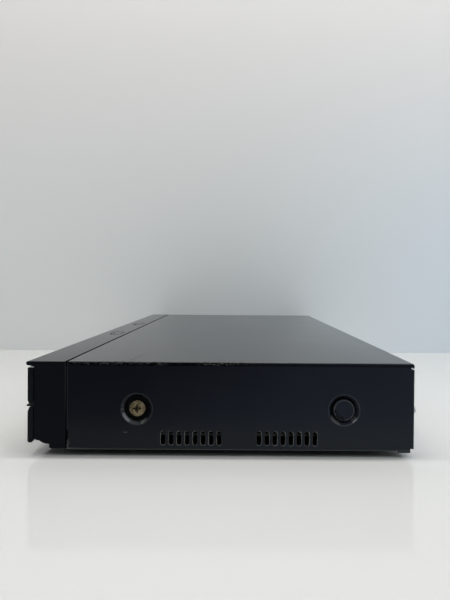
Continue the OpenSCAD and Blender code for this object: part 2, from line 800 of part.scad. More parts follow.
module front_usb_socket() {
  z = card_z + board_t + fit;
  color("lightgray")
  union() {
    difference() {
      block([usb_x - usb_w / 2, usb_x + usb_w / 2], [fwd(face_d - 0.2), fwd(face_d - 16)], [z, z + usb_h]);
      block([usb_x - usb_w / 2 + shell_t, usb_x + usb_w / 2 - shell_t], [fwd(face_d + 1), fwd(face_d - 13)],
            [z + shell_t, z + usb_h - shell_t]);
    }
    block([usb_x - 5.5, usb_x + 5.5], [fwd(face_d - 1), fwd(face_d - 14)],
          [z + usb_h - 3.3, z + usb_h - 1.4]);
  }
}

module card_slot() {
  z = card_z + board_t + fit;
  color("lightgray")
  difference() {
    block([slot_card_x - slot_w / 2, slot_card_x + slot_w / 2], [fwd(face_d - 0.2), fwd(wall_d - card_d + 4)],
          [z, z + slot_h]);
    block([slot_card_x - 12.2, slot_card_x + 12.2], [fwd(face_d + 1), fwd(face_d - 22)],
          [z + shell_t, z + slot_h - shell_t]);
  }
}

// Pill outline of a top button in (x, y), grown by a margin
module button_outline(x, grow) {
  r = button_d / 2 + grow;
  reach = button_w / 2 - button_d / 2;
  y = fwd(button_fwd);
  polygon(concat(arc([x + reach, y], r, -90, 90, 12), arc([x - reach, y], r, 90, 270, 12)));
}

module top_button(x) {
  stem_z = key_z + board_t + fit + switch_h + button_travel + 0.2;
  union() {
    along_z([case_h - wall - run - 1, case_h - 0.1]) button_outline(x, 0);
    along_z([case_h - wall - run - 1, case_h - wall - run]) button_outline(x, 1);
    bar_z(x, fwd(button_fwd), [stem_z, case_h - wall - run - 1 + eps], 2);
  }
}

module power_button() {
  color([0.09, 0.09, 0.1]) top_button(-button_x);
}

module open_button() {
  color([0.09, 0.09, 0.1]) top_button(button_x);
}

module key_board() {
  x = key_boss_xs[3] + hole_inset;
  color("seagreen")
  difference() {
    block([-x, x], [fwd(button_fwd + 6), fwd(button_fwd - 6)], [key_z, key_z + board_t]);
    for (p = key_boss_xs)
      bar_z(p, fwd(button_fwd), [key_z - 1, key_z + board_t + 1], small_screw_r + fit);
  }
}

module key_switches() {
  z = key_z + board_t + fit;
  color([0.15, 0.15, 0.16])
  for (x = [-button_x, button_x])
    union() {
      block([x - 3, x + 3], [fwd(button_fwd + 3), fwd(button_fwd - 3)], [z, z + switch_h - 0.9]);
      bar_z(x, fwd(button_fwd), [z + switch_h - 1, z + switch_h], 1.7);
    }
}

module loader_frame() {
  wall_t = 3;
  ledge_w = 3;
  color([0.16, 0.16, 0.17])
  difference() {
    union() {
      difference() {
        block([-drive_x, drive_x], drive_y, [drive_z, deck_z]);
        block([-traverse_x - pivot_gap, traverse_x + pivot_gap], [traverse_y[0] - 3, traverse_y[1] + 3],
              [drive_z - 1, deck_z + 1]);
      }
      both_sides() {
        block([frame_in, frame_in + wall_t], drive_y, [drive_z, drive_top]);
        block([frame_in - ledge_w, frame_in + eps], drive_y, [tray_z - run - 2.5, tray_z - run]);
        for (y = [drive_y[0] + 2, drive_y[0] + 14])
          block([frame_in - ledge_w, frame_in + eps], [y, y + 7],
                [tray_z + rail_t + run, tray_z + rail_t + run + 1.5]);
        block([traverse_x + pivot_gap, traverse_x + pivot_reach + pivot_gap],
              [traverse_pivot_y - 5, traverse_pivot_y + 5], [deck_z - eps, traverse_pivot_z + 5]);
      }
      block([-frame_in - eps, frame_in + eps], [drive_y[1] - wall_t, drive_y[1]],
            [drive_z, tray_z - run - 2]);
      bar_z(gear_x, gear_y, [deck_z - eps, gear_z[0] - run], 4);
      bar_z(gear_x, gear_y, [deck_z, gear_z[1] - 0.1], gear_pin_r);
      bar_z(pinion_x, pinion_y, [deck_z - eps, pulley_z[0] - run], 4);
      bar_z(pinion_x, pinion_y, [deck_z, gear_z[1] - 0.1], gear_pin_r);
    }
    both_sides()
      bar_x([traverse_x, traverse_x + pivot_reach + 2 * pivot_gap], traverse_pivot_y, traverse_pivot_z,
            pivot_r + shaft_gap);
    for (x = drive_post_xs, y = drive_post_ys)
      bar_z(x, y, [drive_z - 1, deck_z + 1], small_screw_r + fit);
  }
}

module drive_cover() {
  z = drive_top + fit;
  side = frame_in + 3 + fit;
  color("silver")
  difference() {
    union() {
      block([-side - sheet, side + sheet], drive_y, [z, z + sheet]);
      both_sides() block([side, side + sheet], drive_y, [z - cover_side, z + eps]);
    }
    bar_z(0, disc_y, [z - 1, z + sheet + 1], clamp_hole_r);
    for (y = [drive_y[1] - 2 * top_slot_step, drive_y[1] - top_slot_step])
      along_z([z - 1, z + sheet + 1]) rounded([-slot_x, y], [slot_x, y + 8], 3.9);
  }
}

// Rack on the underside of the tray, teeth towards -X, with a space beside the gear
module rack_outline() {
  pitch = PI * gear_m;
  half = pitch / 4 - flank_gap / 2;
  count = ceil((tray_travel + 12) / pitch);
  slope = tan(20);
  teeth = [for (k = [-2:count - 3]) gear_y + (k + 0.5) * pitch];
  root_x = rack_pitch_x + dedendum;
  tip_x = rack_pitch_x - addendum;
  polygon(concat(
    [[root_x + 3.5, teeth[0] - pitch / 2], [root_x, teeth[0] - pitch / 2]],
    [for (y = teeth) each [[root_x, y - half - dedendum * slope], [tip_x, y - half + addendum * slope],
                           [tip_x, y + half - addendum * slope], [root_x, y + half + dedendum * slope]]],
    [[root_x, teeth[count - 1] + pitch / 2], [root_x + 3.5, teeth[count - 1] + pitch / 2]]));
}

module disc_tray() {
  front = fwd(plate_d - fit);
  top = tray_z + rim_t;
  color([0.13, 0.13, 0.14])
  difference() {
    union() {
      block([-tray_x, tray_x], [front, tray_y[1]], [tray_z, tray_z + rail_t]);
      along_z([tray_z, top]) rounded([-rim_x, front], [rim_x, tray_y[1] - 2], 3);
      along_z([rack_z, tray_z + eps]) rack_outline();
    }
    bar_z(0, disc_y, [tray_z + well_t, top + 1], disc_d / 2 + 0.5);
    bar_z(0, disc_y, [tray_z + well_t - 0.7, top + 1], disc_d / 3 + 0.5);
    along_z([tray_z - 1, top + 1])
      polygon(concat(arc([0, disc_y], slot_x, 180, 360, 18),
                     [[slot_x, tray_y[1] + 1], [-slot_x, tray_y[1] + 1]]));
    for (x = [-40, 40])
      along_z([tray_z + well_t, top + 1]) rounded([x - 8, front + 6], [x + 8, disc_y - 20], 6);
    for (x = bezel_peg_xs)
      bar_y(x, [front - 1, front + 5], tray_z + rim_t / 2, 1.5 + fit);
  }
}

module tray_bezel() {
  color([0.07, 0.075, 0.09])
  union() {
    along_x([-bezel_x, bezel_x])
      polygon([at(front_d, upper_z1 - bezel_drop), at(front_d, upper_z + 2), at(front_d - 1, upper_z + 0.4),
               at(plate_d, upper_z + 0.4), at(plate_d, upper_z1 - bezel_drop)]);
    for (x = bezel_peg_xs)
      bar_y(x, [fwd(plate_d + eps), fwd(plate_d - 4)], tray_z + rim_t / 2, 1.5);
  }
}

module tray_gear() {
  color("ivory")
  translate([gear_x, gear_y, 0])
    difference() {
      along_z(gear_z) gear_outline(gear_r, gear_teeth);
      bar_z(0, 0, [gear_z[0] - 1, gear_z[1] + 1], gear_pin_r + shaft_gap);
    }
}

module pulley_gear() {
  groove = [pulley_z[0] + pulley_lip, pulley_z[1] - pulley_lip];
  color("ivory")
  translate([pinion_x, pinion_y, 0])
    difference() {
      union() {
        rotate([0, 0, mesh_turn + 180]) along_z([pulley_z[1] - eps, gear_z[1]])
          gear_outline(pinion_r, pinion_teeth);
        bar_z(0, 0, [pulley_z[0], groove[0]], pulley_r);
        bar_z(0, 0, [groove[0] - eps, groove[1] + eps], pulley_r - groove_depth);
        bar_z(0, 0, [groove[1], pulley_z[1]], pulley_r);
      }
      bar_z(0, 0, [pulley_z[0] - 1, gear_z[1] + 1], gear_pin_r + shaft_gap);
    }
}

module motor_pulley() {
  groove = [pulley_z[0] + pulley_lip, pulley_z[1] - pulley_lip];
  color("gold")
  union() {
    bar_z(pinion_x, motor_y, [pulley_z[0], groove[0]], motor_pulley_r + 1.5);
    bar_z(pinion_x, motor_y, [groove[0] - eps, groove[1] + eps], motor_pulley_r);
    bar_z(pinion_x, motor_y, [groove[1], pulley_z[1]], motor_pulley_r + 1.5);
    bar_z(pinion_x, motor_y, [deck_z + 4, pulley_z[0] + eps], 1);
  }
}

// Loop round two pulleys on one X, the larger one in front
module belt_outline(a, b) {
  lean = asin((a - b) / (motor_y - pinion_y));
  polygon(concat(arc([pinion_x, motor_y], b, lean, 180 - lean, 16),
                 arc([pinion_x, pinion_y], a, 180 - lean, 360 + lean, 28)));
}

module loading_belt() {
  inner = pulley_r - groove_depth + run;
  small = motor_pulley_r + run;
  belt_z = [pulley_z[0] + pulley_lip + run, pulley_z[1] - pulley_lip - run];
  belt_t = 1.2;
  color([0.08, 0.08, 0.08])
  difference() {
    along_z(belt_z) belt_outline(inner + belt_t, small + belt_t);
    along_z([belt_z[0] - 1, belt_z[1] + 1]) belt_outline(inner, small);
  }
}

module loading_motor() {
  color("lightgray")
  difference() {
    union() {
      bar_z(pinion_x, motor_y, [deck_z + fit, pulley_z[0] - 3], 10);
      bar_z(pinion_x, motor_y, [pulley_z[0] - 3 - eps, pulley_z[0] - 1.5], 4);
    }
    bar_z(pinion_x, motor_y, [deck_z + 3, pulley_z[0]], 1 + shaft_gap);
    for (s = [-1, 1])
      block([pinion_x + s * 9.4 - 1.4, pinion_x + s * 9.4 + 1.4], [motor_y - 12, motor_y + 12],
            [deck_z - 1, pulley_z[0]]);
  }
}

module traverse_frame() {
  open_x = rod_x + 4.5;
  open_y = [sled_y[0] - 1, sled_end + 4];
  color([0.2, 0.2, 0.21])
  difference() {
    union() {
      along_z(traverse_z) rounded([-traverse_x, traverse_y[0]], [traverse_x, traverse_y[1]], 6);
      for (x = [-rod_x, rod_x], y = [rod_y[0] - 1, rod_y[1] - 3])
        block([x - 3, x + 3], [y, y + 4], [traverse_z[1] - eps, rod_z + 2.4]);
      block([lead_x - 3, lead_x + 3], [lead_y[0] - 1, lead_y[0] + 3], [traverse_z[1] - eps, lead_z + 2.6]);
      both_sides()
        bar_x([traverse_x - 5, traverse_x + pivot_reach], traverse_pivot_y, traverse_pivot_z, pivot_r);
    }
    bar_z(0, disc_y, [traverse_z[0] - 1, traverse_z[1] + 1], spindle_r + fit);
    block([-open_x, open_x], open_y, [traverse_z[0] - 1, traverse_z[1] + 1]);
    for (x = [-rod_x, rod_x])
      bar_y(x, [rod_y[0], rod_y[1]], rod_z, rod_r + 0.02);
    bar_y(lead_x, [lead_y[0] - 2, lead_y[0] + 4], lead_z, lead_r + shaft_gap);
  }
}

module spindle_motor() {
  color("lightgray")
  difference() {
    union() {
      bar_z(0, disc_y, [traverse_z[0] - 2, traverse_z[1] + 4], spindle_r);
      bar_z(0, disc_y, [traverse_z[1] + fit, traverse_z[1] + fit + 1.2], spindle_r + 2.5);
    }
    bar_z(0, disc_y, [traverse_z[0], traverse_z[1] + 5], spindle_shaft_r + shaft_gap);
  }
}

module turntable() {
  z = turntable_z;
  color([0.1, 0.1, 0.11])
  translate([0, disc_y, 0])
    rotate_extrude()
      polygon([[0, traverse_z[0] + 0.5], [spindle_shaft_r, traverse_z[0] + 0.5],
               [spindle_shaft_r, traverse_z[1] + 4 + run], [neck_r, traverse_z[1] + 4 + run],
               [neck_r, z - 2.4], [turntable_r, z - 2.4], [turntable_r, z], [hub_r, z],
               [hub_r, z + 0.8], [neck_r, z + 1.7], [0, z + 1.7]]);
}

module clamper() {
  low = turntable_z + 1.5;
  seat = drive_top + fit + sheet + run;
  color([0.75, 0.75, 0.77])
  translate([0, disc_y, 0])
    rotate_extrude()
      polygon([[0, low + 1.6], [clamp_bore_r, low + 1.6], [clamp_bore_r, low], [clamp_hole_r - 1, low],
               [clamp_hole_r - 1, seat], [clamp_hole_r + 4, seat], [clamp_hole_r + 3, seat + 1.6],
               [5, seat + 1.6], [4, seat + 2.4],
               [0, seat + 2.4]]);
}

module guide_rods() {
  color("whitesmoke")
  for (x = [-rod_x, rod_x])
    bar_y(x, [rod_y[0] + 0.1, rod_y[1] - 0.1], rod_z, rod_r);
}

module pickup_sled() {
  x = rod_x + 3.4;
  arm_y = (sled_y[0] + sled_y[1]) / 2;
  color([0.35, 0.36, 0.38])
  difference() {
    union() {
      block([-x, x], sled_y, [traverse_z[0] - 1, rod_z + 2.6]);
      block([-18, 18], [sled_y[0] + 1, sled_y[1] - 6], [rod_z + 2.4, rod_z + 4]);
      bar_z(0, lens_y, [rod_z + 3.8, rod_z + 5], 5);
      bar_z(0, lens_y, [rod_z + 4.8, rod_z + 5.6], 3.5);
      block([lead_x + lead_r + run, -x + eps], [arm_y - 4, arm_y + 4], [traverse_z[1] + run, rod_z + 2.6]);
    }
    for (s = [-rod_x, rod_x])
      bar_y(s, [sled_y[0] - 1, sled_y[1] + 1], rod_z, rod_r + shaft_gap);
  }
}

module lead_screw() {
  color("whitesmoke")
  bar_y(lead_x, [lead_y[0] - 0.5, lead_y[1] + 4], lead_z, lead_r);
}

module sled_motor() {
  color("lightgray")
  difference() {
    bar_y(lead_x, [lead_y[1], lead_y[1] + 14], lead_z, sled_motor_r);
    bar_y(lead_x, [lead_y[1] - 1, lead_y[1] + 5], lead_z, lead_r + shaft_gap);
  }
}

// Small pan-head screw pointing down, its head seated at the given height
module down_screw(x, y, z, len) {
  translate([x, y, z]) rotate([0, -90, 0]) pan_screw(small_head_r, small_head_t, small_screw_r, len);
}

module drive_screws() {
  color("silver")
  for (x = drive_post_xs, y = drive_post_ys)
    down_screw(x, y, deck_z + fit, 6);
}

module board(x, y, stands, extra_holes, extra_r) {
  difference() {
    block(x, y, [board_z, board_z + board_t]);
    for (p = stands)
      bar_z(p[0], p[1], [board_z - 1, board_z + board_t + 1], small_screw_r + fit);
    for (p = extra_holes)
      bar_z(p[0], p[1], [board_z - 1, board_z + board_t + 1], extra_r);
  }
}

module main_board() {
  chips = [[0.3, 0.25, 18, 18], [0.62, 0.3, 14, 10], [0.62, 0.45, 14, 10], [0.3, 0.55, 12, 12]];
  color("seagreen")
  union() {
    board(main_x, main_y, main_stands, [for (x = bracket_post_xs) [x, bracket_post_y]], stand_r + 1);
    for (c = chips)
      let (x = main_x[0] + c[0] * (main_x[1] - main_x[0]), y = main_y[0] + c[1] * (main_y[1] - main_y[0]))
        block([x - c[2] / 2, x + c[2] / 2], [y - c[3] / 2, y + c[3] / 2],
              [board_z + board_t - eps, board_z + board_t + chip_t]);
  }
}

// Finned block standing on a board
module heat_sink(x, y, z, fins) {
  pitch = (x[1] - x[0] - 1) / (fins - 1);
  union() {
    block(x, y, [z[0], z[0] + sink_base]);
    for (i = [0:fins - 1])
      block([x[0] + i * pitch, x[0] + i * pitch + 1], y, [z[0] + sink_base - eps, z[1]]);
  }
}

module main_heat_sink() {
  cx = main_x[0] + 0.3 * (main_x[1] - main_x[0]);
  cy = main_y[0] + 0.25 * (main_y[1] - main_y[0]);
  color("silver")
  heat_sink([cx - sink_w / 2, cx + sink_w / 2], [cy - sink_w / 2, cy + sink_w / 2],
            [sink_z, sink_z + sink_h], 9);
}

module tuner_module() {
  y1 = panel_y0 - fit;
  color("silver")
  union() {
    block([aerial_x - tuner_w / 2, aerial_x + tuner_w / 2], [y1 - tuner_len, y1 - 1.2],
          [io_z, aerial_zs[1] + 8]);
    for (z = aerial_zs)
      bar_y(aerial_x, [y1 - 2, y1 - fit], z, aerial_r + 1.4);
  }
}

module aerial_sockets() {
  y = panel_y0 - fit;
  color("gainsboro")
  for (z = aerial_zs)
    difference() {
      union() {
        bar_y(aerial_x, [y, rear_y + rear_reach], z, aerial_r);
        for (k = [0:3])
          bar_y(aerial_x, [rear_y + 2.4 + k * 1.8, rear_y + 3.3 + k * 1.8], z, aerial_r + 0.4);
      }
      bar_y(aerial_x, [rear_y + 1, rear_y + rear_reach + 1], z, 1.2);
    }
}

// Outline of the HDMI socket in (x, z), drawn in by an inset
module hdmi_outline(inset) {
  w = hdmi_w / 2 - inset;
  slope = 2.4 - inset / 2;
  polygon([[hdmi_x - w, io_z + inset + slope], [hdmi_x - w + slope, io_z + inset],
           [hdmi_x + w - slope, io_z + inset], [hdmi_x + w, io_z + inset + slope],
           [hdmi_x + w, io_z + hdmi_h - inset], [hdmi_x - w, io_z + hdmi_h - inset]]);
}

module hdmi_socket() {
  y1 = panel_y1 + 0.4;
  color("lightgray")
  union() {
    difference() {
      along_y([y1 - 12, y1])
        hdmi_outline(0);
      along_y([y1 - 10, y1 + 1])
        hdmi_outline(shell_t);
    }
    block([hdmi_x - 5, hdmi_x + 5], [y1 - 11, y1 - 1.5], [io_z + 2.6, io_z + 3.8]);
  }
}

module lan_socket() {
  y1 = panel_y1 + 0.4;
  color([0.75, 0.75, 0.76])
  difference() {
    block([lan_x - lan_w / 2, lan_x + lan_w / 2], [y1 - 18, y1], [io_z, io_z + lan_h]);
    block([lan_x - 5.9, lan_x + 5.9], [y1 - 13, y1 + 1], [io_z + 3.2, io_z + 11.2]);
    block([lan_x - 3, lan_x + 3], [y1 - 13, y1 + 1], [io_z + 1.6, io_z + 4]);
  }
}

module av_jacks() {
  y1 = panel_y0 - fit;
  colours = ["gold", "white", "firebrick"];
  for (i = [0:2])
    color(colours[i])
    difference() {
      union() {
        block([av_x + i * av_pitch - 5.3, av_x + i * av_pitch + 5.3], [y1 - 12, y1], [io_z, io_z + 15]);
        bar_y(av_x + i * av_pitch, [y1 - 1, rear_y + 7.5], av_z, av_r);
      }
      bar_y(av_x + i * av_pitch, [rear_y - 2, rear_y + 8], av_z, 1.7);
    }
}

module power_board() {
  color("darkgoldenrod") board(power_x, power_y, power_stands, [], 1);
}

module transformer() {
  x = power_x[0] + core_x - core_w / 2;
  y = power_y[0] + core_y - core_d / 2;
  color("goldenrod")
  union() {
    block([x + 1.5, x + core_w - 1.5], [y + 4, y + core_d - 4], [io_z + 6, io_z + core_h - 6]);
    block([x + 6.5, x + core_w - 6.5], [y, y + core_d], [io_z, io_z + core_h]);
    block([x, x + core_w], [y + 12, y + core_d - 12], [io_z + 2, io_z + core_h - 3]);
  }
}

module capacitors() {
  cans = concat([[can_x, can_y, can_r, can_h], [can_x, can_y - can_h, small_can_r, small_can_h]],
                [for (i = [0:2]) [small_can_x, small_can_y + i * small_can_pitch, small_can_r, small_can_h]]);
  color([0.16, 0.18, 0.3])
  for (c = cans)
    translate([power_x[0] + c[0], power_y[0] + c[1], io_z])
      rotate_extrude()
        polygon([[0, 0], [c[2], 0], [c[2], 2], [c[2] - 0.6, 2.8], [c[2], 3.6], [c[2], c[3] - 0.8],
                 [c[2] - 0.8, c[3]], [c[2] - 2, c[3] - 0.3], [0, c[3] - 0.3]]);
}

module power_heat_sink() {
  x = power_x[0] + power_sink_x - power_sink_w / 2;
  y = power_y[0] + power_sink_y - power_sink_d / 2;
  color("silver")
  heat_sink([x, x + power_sink_w], [y, y + power_sink_d], [io_z, io_z + power_sink_h], 8);
}

module mains_inlet() {
  y1 = panel_y1 + 1.4;
  pin_z = inlet_z + inlet_h / 2;
  color([0.09, 0.09, 0.1])
  union() {
    difference() {
      along_y([y1 - 22, y1])
        rounded([inlet_x - inlet_w / 2, inlet_z], [inlet_x + inlet_w / 2, inlet_z + inlet_h], 2.9);
      along_y([y1 - 14, y1 + 1])
        rounded([inlet_x - 8.3, pin_z - 4.2], [inlet_x + 8.3, pin_z + 4.2], 4);
    }
    for (s = [-1, 1])
      bar_y(inlet_x + s * 4.3, [y1 - 15, y1 - 2], pin_z, 1.15);
  }
}

module fan_frame() {
  y = [panel_y0 - fit - fan_t, panel_y0 - fit];
  c = fan_w / 2;
  color([0.1, 0.1, 0.11])
  difference() {
    union() {
      difference() {
        along_y(y) rounded([fan_x - c, fan_z - c], [fan_x + c, fan_z + c], 3);
        bar_y(fan_x, [y[0] - 1, y[1] + 1], fan_z, c - fan_rim);
      }
      bar_y(fan_x, [y[0], y[0] + 2], fan_z, fan_hub_r);
      for (a = [0, 90, 180, 270])
        translate([fan_x, 0, fan_z]) rotate([0, a, 0])
          block([fan_hub_r - 1, c - 1], [y[0], y[0] + 1.4], [-1, 1]);
      bar_y(fan_x, [y[0], y[1] - 1.6], fan_z, 1);
    }
    for (sx = [-1, 1], sz = [-1, 1])
      bar_y(fan_x + sx * (c - fan_hole_in), [y[0] - 1, y[1] + 1], fan_z + sz * (c - fan_hole_in), fan_hole_r);
  }
}

module fan_rotor() {
  y = [panel_y0 - fit - fan_t + 2 + run, panel_y0 - fit - 1];
  blade_r = fan_w / 2 - fan_rim - 0.7;
  color([0.14, 0.14, 0.15])
  difference() {
    union() {
      bar_y(fan_x, y, fan_z, fan_hub_r);
      for (k = [0:6])
        translate([fan_x, (y[0] + y[1]) / 2, fan_z]) rotate([0, k * 360 / 7, 0]) rotate([40, 0, 0])
          block([fan_hub_r - 1, blade_r - 0.6], [-0.5, 0.5], [-4, 4]);
    }
    bar_y(fan_x, [y[0] - 1, y[1] - 0.4], fan_z, 1 + shaft_gap);
  }
}

module hard_disk() {
  lid_t = 1;
  z = [hdd_z, hdd_z + hdd_h];
  cx = (hdd_x[0] + hdd_x[1]) / 2;
  color([0.55, 0.56, 0.58])
  difference() {
    union() {
      along_z([z[0], z[1] - lid_t]) rounded([hdd_x[0], hdd_y[0]], [hdd_x[1], hdd_y[1]], 3);
      along_z([z[1] - lid_t - eps, z[1]])
        rounded([hdd_x[0] + 2, hdd_y[0] + 3], [hdd_x[1] - 2, hdd_y[1] - 3], 6);
    }
    bar_z(cx, hdd_y[0] + 56, [z[1] - 0.6, z[1] + 1], 42);
    for (x = hdd_hole_xs, y = hdd_hole_ys)
      bar_z(x, y, [z[0] - 1, z[0] + 5], small_screw_r + fit);
  }
}

module hdd_bracket() {
  x = [hdd_x[0] - 2, hdd_x[1] + 2];
  leg_y = hdd_y[0] - 4;
  foot_z = floor_z + fit;
  color("gainsboro")
  difference() {
    union() {
      block(x, [leg_y, hdd_y[1] - 2], [bracket_z, bracket_z + sheet]);
      block(x, [leg_y, leg_y + sheet], [foot_z, bracket_z + sheet]);
      block(x, [leg_y, leg_y + 6], [foot_z, foot_z + sheet]);
    }
    for (hole_x = hdd_hole_xs, y = hdd_hole_ys)
      bar_z(hole_x, y, [bracket_z - 1, bracket_z + sheet + 1], small_screw_r + fit);
    along_z([bracket_z - 1, bracket_z + sheet + 1])
      rounded([hdd_x[0] + 24, hdd_y[0] + 30], [hdd_x[1] - 24, hdd_y[1] - 40], 6);
  }
}

module hdd_dampers() {
  z = bracket_z + sheet + fit;
  color([0.15, 0.15, 0.16])
  for (x = hdd_hole_xs, y = hdd_hole_ys)
    difference() {
      bar_z(x, y, [z, z + damper_t], damper_r);
      bar_z(x, y, [z - 1, z + damper_t + 1], small_screw_r + fit);
    }
}

module hdd_screws() {
  color("silver")
  for (x = hdd_hole_xs, y = hdd_hole_ys)
    translate([x, y, bracket_z - fit]) rotate([0, 90, 0])
      pan_screw(small_head_r, small_head_t, small_screw_r, 7);
}

module board_screws() {
  color("silver")
  for (p = concat(main_stands, power_stands))
    down_screw(p[0], p[1], board_z + board_t + fit, 5);
}

base_chassis();
top_cover();
back_panel();
feet();
cover_screws();
screw_caps();
rear_screws();
front_panel();
lower_panel();
centre_trim();
display_window();
display_module();
front_board();
flap_door();
flap_pins();
card_board();
front_usb_socket();
card_slot();
key_board();
key_switches();
power_button();
open_button();
loader_frame();
drive_cover();
disc_tray();
tray_bezel();
tray_gear();
pulley_gear();
motor_pulley();
loading_belt();
loading_motor();
traverse_frame();
spindle_motor();
turntable();
clamper();
guide_rods();
pickup_sled();
lead_screw();
sled_motor();
drive_screws();
main_board();
main_heat_sink();
tuner_module();
aerial_sockets();
hdmi_socket();
lan_socket();
av_jacks();
power_board();
transformer();
capacitors();
power_heat_sink();
mains_inlet();
fan_frame();
fan_rotor();
hard_disk();
hdd_bracket();
hdd_dampers();
hdd_screws();
board_screws();
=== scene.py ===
"""Finishes, fine pieces and stage for the disc recorder, laid out as a Blender add-on."""

import math

import bpy
from bpy.props import FloatProperty, FloatVectorProperty, IntProperty, PointerProperty
from mathutils import Matrix, Vector


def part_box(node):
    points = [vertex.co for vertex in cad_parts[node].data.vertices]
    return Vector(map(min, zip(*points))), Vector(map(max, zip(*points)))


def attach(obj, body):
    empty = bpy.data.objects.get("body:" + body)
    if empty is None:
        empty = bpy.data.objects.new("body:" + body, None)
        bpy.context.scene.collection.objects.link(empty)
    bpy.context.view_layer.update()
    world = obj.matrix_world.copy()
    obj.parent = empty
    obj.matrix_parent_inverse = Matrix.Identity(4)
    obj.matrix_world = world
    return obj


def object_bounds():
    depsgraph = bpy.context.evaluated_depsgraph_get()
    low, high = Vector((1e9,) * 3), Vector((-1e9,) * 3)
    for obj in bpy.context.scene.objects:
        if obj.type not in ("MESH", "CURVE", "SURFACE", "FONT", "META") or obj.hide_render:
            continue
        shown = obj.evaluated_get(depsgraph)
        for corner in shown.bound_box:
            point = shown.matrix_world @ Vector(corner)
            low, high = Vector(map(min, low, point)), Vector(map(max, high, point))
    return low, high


bl_info = {
    "name": "Disc Recorder Finishes",
    "version": (1, 0, 0),
    "blender": (4, 5, 0),
    "location": "View3D > Sidebar > Recorder",
    "description": "Paints the packed disc recorder, adds its fine pieces and sets the stage",
    "category": "Material",
}

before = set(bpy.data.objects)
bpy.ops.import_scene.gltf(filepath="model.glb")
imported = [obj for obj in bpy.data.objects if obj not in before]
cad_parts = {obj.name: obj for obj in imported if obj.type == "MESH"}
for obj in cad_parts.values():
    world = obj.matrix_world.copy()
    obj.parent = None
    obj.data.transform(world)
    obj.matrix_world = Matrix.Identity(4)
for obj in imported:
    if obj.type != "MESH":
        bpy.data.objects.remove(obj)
CAD_BOX = [list(corner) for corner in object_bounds()]
MM = 0.001
IMAGE_W, IMAGE_H = 450, 600

COVER_LOW, COVER_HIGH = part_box("top_cover")
FASCIA_LOW, FASCIA_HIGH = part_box("front_panel")

# How far below a face its own surface points may lie: on the sides, and on the top
SKIN = 0.1 * MM
TOP_SKIN = 0.2 * MM

# Bump: depth of a fine grain and of rolling lines, and how fast the dishes' walls curve over
GRAIN_DEPTH = 0.00005
ROLLING_DEPTH = 0.00003
RIM_ROLL = -180.0

# Colours of dirt and of painted shade, stains and specks
DIRT_AND_SHADE = (0.002, 0.002, 0.002)
CAP_EDGE_DARK = (0.001, 0.001, 0.001)
RECESS_DIRT_AND_SHADE = (0.008, 0.006, 0.004)
INSIDE_SHADE = (0.012, 0.012, 0.012)
STAIN = (0.05, 0.035, 0.015)
SPECK = (0.35, 0.36, 0.37)

# Points that the lamps face, and the width of the camera's frame in millimetres
LAMP_AIM = (0.0, 0.0, 0.05)
OVERHEAD_AIM = (-0.25, 0.0, 0.2)
SENSOR = 36.0


# Shader expressions


class Value:
    """A socket of a node tree that takes part in Python arithmetic."""

    def __init__(self, tree, socket):
        self.tree = tree
        self.socket = socket

    def _math(self, operation, *others):
        inputs = dict(enumerate((self, *others)))
        return self.tree.node("ShaderNodeMath", {"operation": operation}, inputs)[0]

    def __add__(self, other):
        return self._math("ADD", other)

    __radd__ = __add__

    def __sub__(self, other):
        return self._math("SUBTRACT", other)

    def __rsub__(self, other):
        return (self * -1.0)._math("ADD", other)

    def __mul__(self, other):
        return self._math("MULTIPLY", other)

    __rmul__ = __mul__

    def __truediv__(self, other):
        return self._math("DIVIDE", other)

    def __pow__(self, other):
        return self._math("POWER", other)

    def __abs__(self):
        return self._math("ABSOLUTE")

    def above(self, other):
        return self._math("GREATER_THAN", other)

    def below(self, other):
        return self._math("LESS_THAN", other)

    def between(self, low, high):
        return self.above(low) * self.below(high)

    def most(self, other):
        return self._math("MAXIMUM", other)

    def least(self, other):
        return self._math("MINIMUM", other)

    def fraction(self):
        return self._math("FRACT")

    def step(self, low, high):
        """0 below low, 1 above high, smooth between them."""
        settings = {"interpolation_type": "SMOOTHSTEP"}
        inputs = {"Value": self, "From Min": low, "From Max": high}
        return self.tree.node("ShaderNodeMapRange", settings, inputs)["Result"]


class Outputs:
    """The output sockets of a node, as values, by name or place."""

    def __init__(self, tree, sockets):
        self.tree = tree
        self.sockets = sockets

    def __getitem__(self, key):
        return Value(self.tree, self.sockets[key])


class Tree:
    """A node tree whose nodes are all made by one method."""

    def __init__(self, tree):
        self.nodes = tree.nodes
        self.links = tree.links
        self.nodes.clear()

    def node(self, kind, settings=None, inputs=None):
        """A node of that kind with its settings, then its sockets' values or links."""
        made = self.nodes.new(kind)
        for key, setting in (settings or {}).items():
            setattr(made, key, setting)
        for key, item in (inputs or {}).items():
            if isinstance(item, Value):
                self.links.new(item.socket, made.inputs[key])
            elif item is not None:
                made.inputs[key].default_value = item
        return Outputs(self, made.outputs)

    def parts(self, vector):
        """X, Y and Z of a vector."""
        made = self.node("ShaderNodeSeparateXYZ", None, {0: vector})
        return made["X"], made["Y"], made["Z"]

    def mix(self, factor, first, second):
        """Blend of two colours, each a value or three numbers."""
        first, second = [c if isinstance(c, Value) else (*c, 1.0) for c in (first, second)]
        return self.node("ShaderNodeMix", {"data_type": "RGBA"}, {0: factor, 6: first, 7: second})[2]


